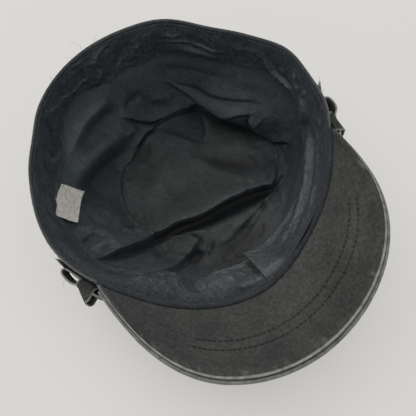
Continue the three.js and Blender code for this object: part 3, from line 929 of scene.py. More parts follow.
LINING_FOLDS = (
    # The long fold across the crown, which hides a deep slit in front of it
    Fold(((69, -21, 5), (65, -18, 4), (59, -13, 4), (50, -8, 4), (40, -5.5, 4), (29, -3.5, 4),
          (16, -1.5, 4), (2.7, -1, 4), (-8, 2.4, 4), (-21, 3.5, 5), (-33, 3.5, 8), (-45, 0, 17),
          (-58, 0, 29), (-68, -1, 35), (-76, 2, 40)), 15.0, 12.0, 3.2, 9.0, 2.2, crisp=0.0,
         swell=(0.25, 0.6, 0.8, 0.9, 1.0, 1.0, 1.0, 0.92, 0.82, 0.64, 0.5, 0.46, 0.42, 0.25, 0.0)),
    # The cloth in front of it, which stands higher than the slit
    Fold(((-30, -10, 6), (-14.5, -14, 4), (-3, -18.5, 4), (9, -22, 4), (22, -25.5, 4), (35, -27, 4),
          (49, -28, 4), (60, -28, 6)), 8.5, 14.0, 4.4, crisp=0.0, swell=(0.0, 0.5, 0.8, 1.0, 1.0, 1.0, 0.7,
                                                                         0.2)),
    # A shallow dip in front, with painted shade
    Fold(((-8, -44, 8), (8, -42, 6), (24, -42, 7), (40, -40, 9)), -1.2, 7.0, 7.0, crisp=0.0, shade=0.25),
    # Painted shade in the slit, along its length and at its left end
    Fold(((-34, -1, 8), (-21, -4, 5), (-8, -7, 4), (2.7, -10, 4), (16, -12.5, 4), (29, -15, 4),
          (42, -17.5, 4), (52, -19.0, 4), (57, -20, 4)), -1.2, 5.0, 4.6, crisp=0.0, fade=0.14, shade=0.9),
    Fold(((-72, -2, 38), (-60, -5, 29), (-47, -5, 19), (-34, -3, 7), (-24, -4, 5), (-14, -6, 4)), -1.6, 3.0,
         2.4, crisp=0.0, swell=(0.3, 1.0, 1.0, 1.0, 0.9, 0.0), shade=0.95),
    # The tongue of wall cloth that hangs over the crown at the back right: lower lip, dark crease above it
    Fold(on_lining((109, 63), (112, 64), (117, 66), (123, 71.5), (130, 70), (135, 68.5), (141, 66.5),
                   (148, 62), (154, 56)), 3.2, 5.0, 1.4, 1.8, 3.2, swell=(0.0, 0.6, 1.0, 1.0, 1.0, 1.0, 0.9,
                                                                          0.7, 0.0)),
    # The crease above the lip, with painted shade
    Fold(on_lining((154, 54.5), (147, 59), (140, 62), (134, 62.5), (126, 62), (116, 58.5), (106, 55.5)),
         -3.4, 3.0, 1.8, swell=(0.0, 0.4, 0.9, 1.0, 1.0, 0.8, 0.0), shade=0.25),
    Fold(on_lining((158, 48), (144, 51), (128, 52), (112, 50), (98, 48)), -1.0, 7.0, 6.0, crisp=0.0),
    Fold(on_lining((151, 60), (143, 63.5), (134, 66), (126, 65)), 0.9, 1.5, 0.9),
    # The shadow below them
    Fold(((58, 54, 5), (64, 44, 4), (71, 34, 4), (77, 26, 4), (80, 20, 5), (83, 13, 6)), -0.6, 4.0, 4.0,
         crisp=0.0, fade=0.2, shade=0.6),
    # Its curl, and the cloth that hangs right of it, with painted shade in a hollow there
    Fold(on_lining((86, 59), (90, 63), (94, 69), (98, 74), (102, 76), (106, 74.5), (109, 70), (111, 64)),
         3.4, 5.0, 1.4, 1.6, 2.4, swell=(0.0, 0.6, 0.9, 1.0, 1.0, 1.0, 0.9, 0.2)),
    Fold(on_lining((113, 62), (111, 68), (108.5, 74)), 1.3, 1.3, 0.9, crisp=0.6),
    Fold(on_lining((103.5, 60), (105.5, 67), (107.5, 73)), 1.5, 1.4, 0.9, crisp=0.6),
    Fold(on_lining((100, 58), (97, 64), (95, 70)), -0.9, 5.0, 4.0, shade=0.15),
    Fold(on_lining((96, 76), (90, 78), (84, 77)), 1.5, 1.5, 1.0),
    Fold(on_lining((93, 72), (87, 76), (81, 76)), 1.3, 1.4, 1.0),
    Fold(on_lining((91, 64), (87, 72), (80, 77)), 1.2, 2.2, 1.4),
    # The shadow under the sweatband at the back
    Fold(on_lining((160, 44), (148, 46), (134, 46), (120, 44)), -1.4, 4.0),
    # The ear of cloth at the back, and the pocket below it
    Fold(on_lining((140, 72), (144, 75), (150, 79), (157, 82), (164, 83), (170, 77.5), (176, 70),
                   (-178, 64)), 4.2, 6.0, 1.1, 3.0, 2.2, swell=(0.3, 0.9, 1.0, 1.0, 0.9, 0.7, 0.5, 0.0)),
    # The pocket, darkened with painted shade along both its edges
    Fold(((55, 72, 8), (53, 62, 5), (50, 54, 4), (46, 47, 4), (41, 43, 4)), -1.8, 9.0, 1.6, crisp=0.0,
         shade=0.85, swell=(0.6, 1.0, 1.0, 0.9, 0.4)),
    Fold(((41, 43, 4), (36, 50, 4), (30, 60, 4), (22, 70, 5)), -0.9, 8.0, 1.8, crisp=0.0, shade=0.7,
         swell=(0.4, 1.0, 0.9, 0.2)),
    Fold(((57, 66, 5), (55, 56, 4), (51, 46, 4), (43, 40, 4)), 1.2, 2.4, 5.0, crisp=0.0),
    # The lip of the seam at the back left, and the soft dark spot beside it
    Fold(((24, 74, 6), (17, 73, 6), (9, 72, 7), (2, 68, 6), (-5, 63, 5), (-11, 60, 5), (-18, 55, 6)), 3.0,
         3.6, 1.2, 1.6, 2.0, 0.2, 0.5),
    # The soft spot of painted shade
    Fold(((14, 66, 4), (2, 60, 4), (-6, 54, 4)), -1.6, 5.0, 5.0, crisp=0.0, shade=0.3),
    # The wall at the left: the dark hollow that runs down from the crown, and the swells above it, with
    # painted shade in the hollows
    Fold(on_lining((-120, 55), (-131, 64), (-143, 74), (-156, 83), (-165, 88), (-173, 92)), -8.5, 12.0, 7.0,
         crisp=0.0, swell=(0.0, 0.7, 1.0, 1.0, 0.9, 0.4), shade=0.15),
    Fold(on_lining((-136, 57), (-149, 64), (-159, 70), (-170, 75), (179, 75)), 4.0, 7.0, 6.5, crisp=0.0,
         swell=(0.0, 0.8, 1.0, 1.0, 0.3)),
    Fold(on_lining((-146, 55), (-157, 60), (-166, 60), (-175, 60), (177, 66)), -3.8, 7.0, 6.0, crisp=0.0,
         shade=0.1),
    Fold(on_lining((-139, 46), (-153, 49), (-168, 48), (178, 51)), 3.0, 5.0, 4.0),
    Fold(on_lining((-176, 82), (179, 80), (173, 82)), 2.4, 4.0, 3.0),
    Fold(on_lining((165, 58), (171, 63), (176, 62)), -2.0, 5.0, 4.0),
    Fold(on_lining((150, 72), (158, 70), (165, 66)), 2.4, 6.0, 5.0),
    # Puckers on the left between the long fold and the label
    Fold(on_lining((-98, 42), (-101, 50), (-102, 57), (-101, 66)), -3.0, 1.6, 1.1),
    Fold(on_lining((-95, 46), (-97, 57), (-96, 67)), 2.4, 2.4, 1.2),
    Fold(on_lining((-91, 44), (-92, 52), (-92, 60)), -2.0, 1.8, 1.1),
    Fold(on_lining((-106, 46), (-108, 54), (-109, 62)), 2.0, 2.8, 1.4),
    Fold(on_lining((-104, 82), (-109, 90), (-113, 99)), -3.0, 1.8, 1.2),
    Fold(on_lining((-106, 76), (-104, 86), (-103, 94)), 2.2, 3.0, 1.6),
    Fold(on_lining((-118, 58), (-110, 70), (-107, 82)), -2.2, 3.4, 2.4),
    Fold(on_lining((-124, 74), (-117, 80), (-112, 88)), 2.2, 5.0, 4.0),
    # Crumpled cloth in front of the long fold: a wavy ridge, a lip over a dark hollow, and creases, with
    # painted shade in the hollows and creases
    Fold(((-29, -3, 6), (-21, -9, 4), (-14, -15, 4), (-9, -21, 4), (-8, -28, 4)), 3.8, 5.0, 1.1, 1.4, 1.8,
         crisp=0.6, swell=(0.2, 0.8, 1.0, 1.0, 0.3)),
    Fold(((-10, -22, 4), (-17, -25, 4), (-24, -27, 6), (-34, -29, 15), (-42, -28, 23), (-51, -24, 28),
          (-61, -19, 34)), 3.4, 5.5, 1.6, 1.2, 2.4, swell=(0.3, 0.9, 1.0, 0.7, 0.5, 0.4, 0.0)),
    Fold(((-9, -27, 4), (-14, -31, 4), (-22, -33, 8)), -3.6, 4.2, 3.0, crisp=0.0, shade=0.4),
    Fold(((-26, -6, 5), (-12, -11, 4), (-2, -18, 4), (3, -24, 4)), 1.6, 3.0, 1.4, 0.5, 0.8, crisp=0.2),
    Fold(((-22, -12, 4), (-12, -17, 4), (-4, -23, 4)), -0.8, 2.6, 2.0, crisp=0.0, shade=0.25),
    Fold(((-2, -34, 5), (10, -34, 4), (22, -31, 4), (34, -30, 4)), 2.2, 5.5, 5.0, crisp=0.0),
    Fold(((-24, -12, 5), (-31, -15, 7), (-39, -15, 15)), -2.6, 3.6, 2.4),
    Fold(((-30, -20, 7), (-38, -20, 14), (-47, -16, 22)), 2.0, 3.4, 2.0),
    Fold(((-11, -28, 4), (-6, -31, 4), (-2, -36, 5)), 1.3, 1.4, 0.9, crisp=0.7),
    Fold(((-3, -26, 4), (-7, -31, 4), (-8, -36, 5)), 1.2, 1.2, 0.8, crisp=0.7),
    Fold(((2, -28, 4), (-3, -33, 4), (-10, -37, 5)), -1.2, 1.3, 0.9, shade=0.3),
    Fold(((17, -19, 4), (15, -25, 4), (8, -31, 4)), -0.9, 2.4, 2.0, crisp=0.0, shade=0.2),
    Fold(((48, -27, 4), (47, -33, 4), (44, -38, 7)), -2.8, 2.6, 2.2, crisp=0.0, shade=0.45),
    Fold(((66, -25, 8), (62, -33, 14), (55, -40, 18)), 1.8, 2.4, 1.6, 0.5),
    Fold(((60, -26, 6), (56, -33, 9), (52, -39, 13)), -1.4, 2.0, 1.4),
    Fold(((55, -27, 5), (52, -34, 8), (47, -41, 12)), 1.4, 2.0, 1.4),
    Fold(((37, -40, 8), (33, -44, 11), (26, -47, 12)), -1.2, 2.6, 2.0, shade=0.2),
    # Two small dark marks of painted shade
    Fold(on_lining((9, 50), (12, 47), (16, 44.5)), -1.5, 1.8, 1.8, crisp=0.0, shade=1.0),
    Fold(((20, -35, 5), (26, -37, 6), (32, -39, 8)), -1.0, 0.9, 0.9, crisp=0.0, shade=0.9),
    # Soft patches and creases of the crown
    Fold(((20, 42, 4), (30, 28, 4), (37, 16, 4), (44, 6, 4), (48, 0, 4)), 1.4, 9.0, 5.0, 0.0, 1.0, 0.3,
         0.0),
    Fold(((32, 18, 4), (38, 12, 4), (44, 5, 4), (50, -2, 4), (55, -6, 4)), 1.2, 2.2, 1.8, crisp=0.3),
    # A darker patch of painted shade
    Fold(((32, 28, 4), (43, 19, 4), (54, 9, 4), (64, -1, 4)), -1.2, 5.0, 6.5, crisp=0.0, shade=0.45),
    Fold(((34, 40, 4), (46, 32, 4), (60, 22, 4), (72, 10, 4)), 1.4, 5.0, 7.0, crisp=0.0),
    Fold(((10, 52, 4), (-4, 44, 4), (-18, 40, 4)), -1.2, 7.0, 7.0, crisp=0.0),
    Fold(((22, 52, 4), (8, 38, 4), (-10, 28, 4), (-26, 22, 4)), 1.4, 7.0, 7.0, crisp=0.0),
    Fold(((30, 20, 4), (10, 22, 4), (-10, 16, 4)), -1.0, 7.0, 7.0, crisp=0.0),
    # The shadow that the sweatband's free edge casts on the lining
    Fold(on_lining((-50, 43), (-70, 43), (-90, 43), (-104, 41), (-118, 41), (-135, 42.5), (-150, 42),
                   (-162, 34)), -0.3, 3.0, 2.4, crisp=0.0, shade=0.4),
    Fold(on_lining((94, 43), (84, 46), (74, 49), (62, 49), (50, 44), (38, 43)), -0.3, 3.0, 2.4, crisp=0.0,
         shade=0.45),
)
LINING_WRINKLES = (
    Wrinkles(1.1, (30.0, 30.0, 30.0), 0.3, 3.1, 2),
    Wrinkles(0.3, (8.0, 8.0, 10.0), 0.6, 8.4, 2),
    Wrinkles(0.9, (10.0, 8.0, 9.0), 0.6, 5.3, 2, (2.0, -46.0, 10.0), 28.0),
    Wrinkles(0.45, (4.5, 4.5, 4.5), 0.7, 3.9, 2, (4.0, -36.0, 8.0), 22.0),
    Wrinkles(0.8, (9.0, 12.0, 14.0), 0.7, 9.2, 3, (-72.0, 10.0, 28.0), 24.0),
    Wrinkles(0.6, (8.0, 8.0, 9.0), 0.7, 2.2, 3, (72.0, 2.0, 10.0), 26.0),
    Wrinkles(0.7, (6.0, 6.0, 6.0), 0.7, 4.4, 2, (-32.0, 14.0, 6.0), 17.0),
)
LINING_THICK = 0.5


@dataclass
class LiningPart:
    """The lining inside the crown: its side wall and its flat disc, sewn together at the wall's foot."""

    face: float = 0.9
    behind: float = -0.1
    top_drop: float = 3.0
    wall_columns: int = 480
    wall_rows: int = 98
    disc_steps: int = 150
    disc_radius: float = 62.0
    seam_sink: float = 0.3
    seam_lip: float = 0.25
    billow: float = 0.6
    lowest: float = 2.0
    fillet: float = 1.2
    creasing: Creasing = field(init=False)

    def __post_init__(self) -> None:
        """Lay the folds on the smooth wall and disc together."""
        share = np.stack(np.meshgrid(np.linspace(0, 1, 150), np.linspace(0, 1, 50)), -1).reshape(-1, 2)
        wall, _ = self._wall_base(share[:, 0], share[:, 1])
        disc, _ = self._disc_base(share[:, 0], share[:, 1])
        self.creasing = Creasing(LINING_FOLDS, LINING_WRINKLES, np.concatenate((wall, disc)))

    def build(self) -> list[bpy.types.Object]:
        """Return the wall and the disc, each in place of its plain solid."""
        steps = (self.wall_columns, self.wall_rows)
        side = Sheet("lining_wall", LINING, 560.0, 95.0, *steps, LINING_THICK, closed=True)
        wall = self._dress(side, self._wall_shape, self._wall_base)
        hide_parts("lining_side")
        disc = Sheet("lining_crown", LINING, 125.0, 125.0, self.disc_steps, self.disc_steps, LINING_THICK)
        crown = self._dress(disc, self._disc_shape, self._disc_base)
        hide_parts("lining_top")
        return [wall, crown]

    def _dress(self, sheet: Sheet, shape: Shape, base: Base) -> bpy.types.Object:
        """Return a lining piece, with its wear, painted shade and painted light by the places of its smooth
        base.

        Args:
            sheet: The piece's sizes.
            shape: Gives its face.
            base: Gives its smooth base.

        Returns:
            The object.
        """
        return sheet.build(shape, lambda across, down: self._wear(base(across, down)[0]),
                           lambda across, down: base(across, down)[1],
                           lambda across, down: self._painted_light(base(across, down)[0]))

    def _seam(self, theta: np.ndarray) -> tuple[np.ndarray, np.ndarray]:
        """Return the seam's places, and the directions between the wall's and the disc's.

        Args:
            theta: Angles round the cap.

        Returns:
            The places and the directions.
        """
        foot = LINING_WALL.length(theta)
        inward = LINING_WALL.inward(theta, foot)
        return LINING_WALL.place(theta, foot) + inward * self.face, unit(inward + UP)

    def _wall_base(self, across: np.ndarray, down: np.ndarray) -> tuple[np.ndarray, np.ndarray]:
        """Return the smooth side wall and its directions.

        Args:
            across: Shares of the way across.
            down: Shares of the way down.

        Returns:
            The places and the directions.
        """
        theta, drop, to_seam = self._wall_grid(across, down)
        inward = LINING_WALL.inward(theta, drop)
        near = (1 - smoothstep(to_seam, 0.0, 8.0))[:, None]
        face = self.behind + (self.face - self.behind) * smoothstep(drop, 30, 46)
        ways = unit(inward * (1 - near) + self._seam(theta)[1] * near)
        return LINING_WALL.place(theta, drop) + inward * face[:, None], ways

    def _wall_grid(self, across: np.ndarray, down: np.ndarray) -> tuple[np.ndarray, np.ndarray, np.ndarray]:
        """Return the angles, the lengths below the edge and those left to the seam.

        Args:
            across: Shares of the way across.
            down: Shares of the way down.

        Returns:
            The three, one value for each place.
        """
        theta = turns(across)
        whole = LINING_WALL.length(theta) - self.top_drop
        return theta, self.top_drop + down * whole, (1 - down) * whole

    def _disc_base(self, across: np.ndarray, down: np.ndarray) -> tuple[np.ndarray, np.ndarray]:
        """Return the smooth disc, a square grid rounded off to the seam, and its directions.

        Args:
            across: Shares of the way across.
            down: Shares of the way down.

        Returns:
            The places and the directions.
        """
        theta, reach, _ = self._disc_grid(across, down)
        edge, seam_way = self._seam(theta)
        flat = np.tile((*CROWN_CENTRE, LINING_FOOT + self.billow), (len(edge), 1))
        near = smoothstep(reach, 0.86, 1.0)[:, None]
        return flat + (edge - flat) * reach[:, None], unit(UP * (1 - near) + seam_way * near)

    def _disc_grid(self, across: np.ndarray, down: np.ndarray) -> tuple[np.ndarray, np.ndarray, np.ndarray]:
        """Return the angles, the shares of the way out to the seam and the lengths left to it.

        Args:
            across: Shares of the way across.
            down: Shares of the way down.

        Returns:
            The three, one value for each place.
        """
        theta, reach = disc_polar(across, down)
        reach = np.minimum(reach, 1.0)
        return theta, reach, (1 - reach) * self.disc_radius

    def _sewn(
        self, base: np.ndarray, ways: np.ndarray, theta: np.ndarray, to_seam: np.ndarray, lip: float,
    ) -> np.ndarray:
        """Return the base sunk along the seam, with a lip beside it, and kept clear of the crown.

        Args:
            base: Smooth places.
            ways: Their directions into the cap.
            theta: Their angles.
            to_seam: Their lengths to the seam.
            lip: The lip's height.

        Returns:
            Places in millimetres.
        """
        deg = np.degrees(theta)
        left = 1 + 1.2 * bell(from_deg(theta, -140.0), 36.0)
        right = np.clip(bell(deg - 86, 34.0) + bell(deg - 30, 40.0) + bell(deg + 42, 38.0), 0, 1)
        depth = lip * left * bell(to_seam - 1.8, 1.1)
        depth -= self.seam_sink * left * (1 - right) * bell(to_seam, 0.8)
        depth += self.fillet * (1 + 2.6 * right) * np.exp(-to_seam / (4.0 + 2.0 * right))
        sewn = base + ways * depth[:, None]
        soft = 0.4
        sewn[:, 2] = self.lowest + soft * np.logaddexp(0.0, (sewn[:, 2] - self.lowest) / soft)
        return sewn

    def _wall_shape(self, across: np.ndarray, down: np.ndarray) -> np.ndarray:
        """Return the creased side wall.

        Args:
            across: Shares of the way across.
            down: Shares of the way down.

        Returns:
            Places in millimetres.
        """
        theta, drop, to_seam = self._wall_grid(across, down)
        base, ways = self._wall_base(across, down)
        share = (0.08 + 0.92 * smoothstep(drop, 32, 46)) * (1 - 0.4 * bell(to_seam, 4.0))
        return self._sewn(self.creasing.apply(base, ways, share), ways, theta, to_seam, self.seam_lip)

    def _disc_shape(self, across: np.ndarray, down: np.ndarray) -> np.ndarray:
        """Return the creased disc.

        Args:
            across: Shares of the way across.
            down: Shares of the way down.

        Returns:
            Places in millimetres.
        """
        theta, _, to_seam = self._disc_grid(across, down)
        base, ways = self._disc_base(across, down)
        creased = self.creasing.apply(base, ways, 1 - 0.4 * bell(to_seam, 4.0))
        return self._sewn(creased, ways, theta, to_seam, 0.1)

    @staticmethod
    def _side(x: np.ndarray, y: np.ndarray) -> np.ndarray:
        """Return how far each place is on the wall at the right, where painted shade darkens it and no warm
        light is painted.
        """
        return smoothstep(x - y, 58.0, 68.0) * smoothstep(y, -18.0, -11.0)

    def _wear(self, base: np.ndarray) -> np.ndarray:
        """Return how worn the cloth is, with painted shade and light: darker deeper in the cap and at the
        front, painted shade on the wall at the right and in the pocket, and painted light high at the back.

        Args:
            base: Places in millimetres.

        Returns:
            Shares from 0 to 1.
        """
        x, y, z = base.T
        front = bell(np.hypot(x - 8.0, y + 34.0), 26.0)
        low = 1 - smoothstep(z, 5.0, 34.0)
        high = smoothstep(z, 22.0, 40.0) * smoothstep(y, -10.0, 50.0)
        pocket = bell(np.hypot(x - 41.0, y - 60.0), 10.0)
        # Darker deeper in the cap and at the front; painted shade on the wall at the right and in the pocket;
        # painted light high on the wall at the back
        deep = 0.3 * low + 0.28 * front + 0.32 * self._side(x, y) * low + 0.5 * pocket
        return self.creasing.wear_and_shading(0.3, 0.42) - deep + 0.3 * high

    def _painted_light(self, base: np.ndarray) -> np.ndarray:
        """Return how much warm light is painted on the cloth: most on the crown and at the front, least in
        the pocket.

        Args:
            base: Places in millimetres.

        Returns:
            Shares from 0 to 1.
        """
        x, y, z = base.T
        warm_light = 1 - smoothstep(z, 6.0, 18.0) + bell(np.hypot(x + 10.0, y + 40.0), 44.0)
        pocket = bell(np.hypot(x - 40.0, y - 58.0), 13.0)
        return np.clip(warm_light, 0, 1) - pocket - self._side(x, y)


# Sweatband


SWEATBAND_FOLDS = (
    # The roll on the right, the groove and the second ridge above it, and the groove beside the edge
    Fold(on_lining((82, 29.5), (76, 28.8), (69, 28), (60, 27), (54, 27), (46, 25.5), (38, 24), (30, 23),
                   (20, 24)), 3.0, 3.6, 2.8, crisp=0.1, swell=(0.0, 0.95, 1.0, 1.0, 1.0, 0.9, 0.75, 0.5,
                                                               0.0)),
    # Painted shade in a strip between the roll and the hem, and in the grooves below
    Fold(on_lining((84, 35), (78, 36), (71, 36), (64, 36.5), (57, 37), (50, 35), (43, 32)), -1.1, 2.0, 1.8,
         crisp=0.0, fade=0.2, shade=0.8),
    Fold(on_lining((78, 22.5), (71, 22), (60, 21), (46, 18), (34, 15), (26, 11)), -1.8, 2.0, 1.8, fade=0.15,
         shade=0.85),
    Fold(on_lining((84, 16), (68, 15.5), (57, 14.5), (45, 11.5), (34, 10)), 0.9, 2.0, 1.8, fade=0.2),
    Fold(on_lining((100, 7), (80, 7.5), (60, 7), (40, 5), (28, 4)), -0.8, 3.4, 3.4, fade=0.15, shade=0.45),
    # The rounded knob at the roll's upper end
    Fold(on_lining((93, 19), (89, 23), (87, 30), (86, 38)), 2.6, 4.5, 2.4, 0.6, 1.0),
    # A small crease with painted shade
    Fold(on_lining((82, 22), (83, 30), (84, 36)), -1.6, 1.8, 1.4, shade=0.2),
    # The front right, where the band stands off the edge and leaves a dark gap
    Fold(on_lining((28, 9), (20, 9), (12, 9.5), (4, 11.5), (-6, 14.5), (-14, 18)), 1.6, 9.0, 2.8, 0.6,
         crisp=0.0),
    # The gap beside the edge and a valley, darkened with painted shade
    Fold(on_lining((30, 1.5), (24, 1.5), (19, 1.5), (15, 1.8), (11, 2.6), (6, 4), (1, 6), (-7, 9),
                   (-14, 13)), -0.5, 2.4, 3.4, crisp=0.0, shade=2.0, swell=(0.5, 1.0, 1.0, 1.0, 1.0, 1.0,
                                                                            0.9, 0.5, 0.0)),
    Fold(on_lining((33, 1), (28, 5), (24, 10), (19, 17)), -1.0, 4.5, 4.5, crisp=0.0, shade=0.55,
         swell=(1.0, 1.0, 0.8, 0.0)),
    # The shadow beside the lapped end
    Fold(on_lining((9.6, 39), (6.3, 22), (3.6, 7)), -0.4, 1.3, 1.3, crisp=0.0, shade=1.0, fade=0.1),
    # The dark hollow at the left, where the peak begins, with painted shade
    Fold(on_lining((-80, 25), (-70, 30), (-60, 33)), -1.6, 4.0, 3.0, shade=0.6),
    # The swells, the dent and the pulled creases of the front
    Fold(on_lining((-68, 20), (-54, 22), (-42, 24)), 2.8, 8.0),
    Fold(on_lining((-24, 26), (-12, 26), (-2, 24)), 2.6, 8.0),
    Fold(on_lining((-37, 38), (-33, 28), (-29, 15)), -5.0, 4.0, 2.2),
    Fold(on_lining((-45, 40), (-42, 30), (-41, 20)), 1.8, 3.0, 1.5),
    Fold(on_lining((-28, 38), (-26, 30), (-24, 22)), 2.0, 2.6, 1.6),
    Fold(on_lining((-78, 30), (-62, 33), (-48, 35)), -1.8, 2.4, 1.5),
    Fold(on_lining((-84, 20), (-70, 14), (-56, 12)), -1.4, 3.0, 2.0),
    *(Fold(on_lining((-14 + 5 * k, 36), (-9 + 5 * k, 27), (-6 + 5 * k, 20)), 0.9, 1.2,
           0.9) for k in range(5)),
    *(Fold(on_lining((-52 + 6 * k, 30), (-55 + 6 * k, 20), (-57 + 6 * k, 12)), 0.8, 1.4,
           1.0) for k in range(3)),
    # The centre-back seam and the pulled creases right of it
    Fold(on_lining((156.5, 1), (156.5, 16), (155.5, 33)), -1.4, 1.0, fade=0.08),
    Fold(on_lining((158.2, 1), (158.2, 16), (157.2, 33)), 0.9, 1.2, fade=0.08),
    Fold(on_lining((155, 11), (150, 13), (145, 11)), 1.1, 2.2, 1.4),
    Fold(on_lining((155, 18), (147, 17.5), (141, 16.5)), 1.2, 2.4, 1.4),
    Fold(on_lining((143, 17), (137, 18), (130, 22)), 1.6, 2.4, 1.3, 0.6),
    Fold(on_lining((155, 22), (143, 21), (131, 26)), -1.3, 2.2, 1.4),
    Fold(on_lining((152, 27), (140, 25), (126, 27)), 1.2, 3.0, 2.0),
    Fold(on_lining((128, 12), (120, 14), (112, 12)), 1.0, 4.0, 2.4),
    # Puckers at the back and left
    Fold(on_lining((172, 6), (180, 9), (-177, 18)), 2.0, 2.4, 1.3),
    Fold(on_lining((-168, 3), (-172, 5), (-177, 5)), 1.6, 1.6, 1.0),
    Fold(on_lining((-164, 22), (-169, 24), (-176, 22)), 1.4, 2.4, 1.6, 0.4),
    Fold(on_lining((-158, 16), (-162, 20), (-165, 25)), 1.6, 2.6, 1.6, 0.4),
    Fold(on_lining((-171, 12), (-170, 20), (-173, 31)), -1.6, 2.8, 2.0),
    Fold(on_lining((-163, 8), (-160, 14), (-161, 20)), -1.6, 2.4, 1.8),
    Fold(on_lining((-150, 11), (-155, 16), (-159, 22)), 1.8, 2.4, 1.4),
    Fold(on_lining((-155, 22), (-153, 27), (-152, 33)), 1.2, 2.8, 2.0),
    Fold(on_lining((-147, 8), (-147, 22), (-149, 36)), -1.6, 2.8, 2.0),
    Fold(on_lining((-141, 14), (-140, 26), (-142, 36)), 1.3, 3.0, 2.2),
    Fold(on_lining((-136, 6), (-138, 12), (-142, 16)), 1.6, 2.0, 1.2),
    Fold(on_lining((-132, 10), (-130, 24), (-131, 36)), -1.1, 3.0, 2.2),
    Fold(on_lining((-122, 8), (-121, 24), (-122, 34)), 1.1, 3.0, 2.2),
    Fold(on_lining((-108, 6), (-109, 20), (-106, 32)), -1.1, 3.4, 2.4),
    Fold(on_lining((179, 22), (-179, 28), (-175, 35)), 1.4, 3.0, 2.0),
    Fold(on_lining((166, 10), (169, 20), (174, 28)), -1.8, 3.0, 1.6),
    Fold(on_lining((162, 14), (165, 22), (168, 30)), 1.6, 3.0, 1.6),
    Fold(on_lining((-97, 8), (-90, 13), (-80, 10)), 2.0, 3.6, 2.0),
    # Puckers at the right back, one of them a large rounded form
    Fold(on_lining((114, 12), (111, 21), (107, 28), (100, 27), (94, 23)), 2.0, 3.4, 1.4, 0.6, 0.8),
    Fold(on_lining((106, 10), (104, 17), (100, 22)), -1.4, 3.0, 2.0),
    Fold(on_lining((99, 8), (97, 15), (93, 20)), 1.5, 2.6, 1.3, 0.6),
    Fold(on_lining((93, 8), (90, 13), (86, 17)), -1.2, 2.2, 1.3),
    Fold(on_lining((124, 26), (120, 15), (119, 6)), -1.2, 3.0, 1.8),
    Fold(on_lining((117, 28), (115, 20), (114, 12)), 1.0, 2.4, 1.4),
)
# How far below the edge the band ends, every 15 degrees from the back: it is pulled up at the back right
SWEATBAND_HEM = np.array((
    37.0, 28.5, 40.0, 40.0, 36.0, 38.0, 41.0, 40.0, 44.0, 45.0, 41.0, 42.0,
    41.0, 38.0, 39.0, 38.5, 38.0, 40.0, 34.0, 28.5, 30.0, 30.5, 32.0, 35.0,
))
HEM_DENTS = (
    EdgeDent(84, 4.0, 5), EdgeDent(93, -2.5, 5), EdgeDent(112, -2.5, 4), EdgeDent(171, -2.5, 4),
    EdgeDent(-50, 1.0, 5), EdgeDent(-24, -2.5, 5), EdgeDent(-111, -4.6, 5), EdgeDent(-126, -2.6, 8),
)
# The turned and stitched hem: height, distance above the band's end and half width of each ridge and groove
HEM_RIDGES = ((0.32, 0.6, 0.6), (-0.4, 1.8, 0.6), (0.3, 3.2, 0.7), (-0.3, 4.6, 0.7))
SWEATBAND_WRINKLES = (
    Wrinkles(1.0, (15.0, 15.0, 24.0), 0.4, 5.2, 3),
    Wrinkles(0.36, (5.5, 5.5, 7.0), 0.6, 1.7, 2),
)


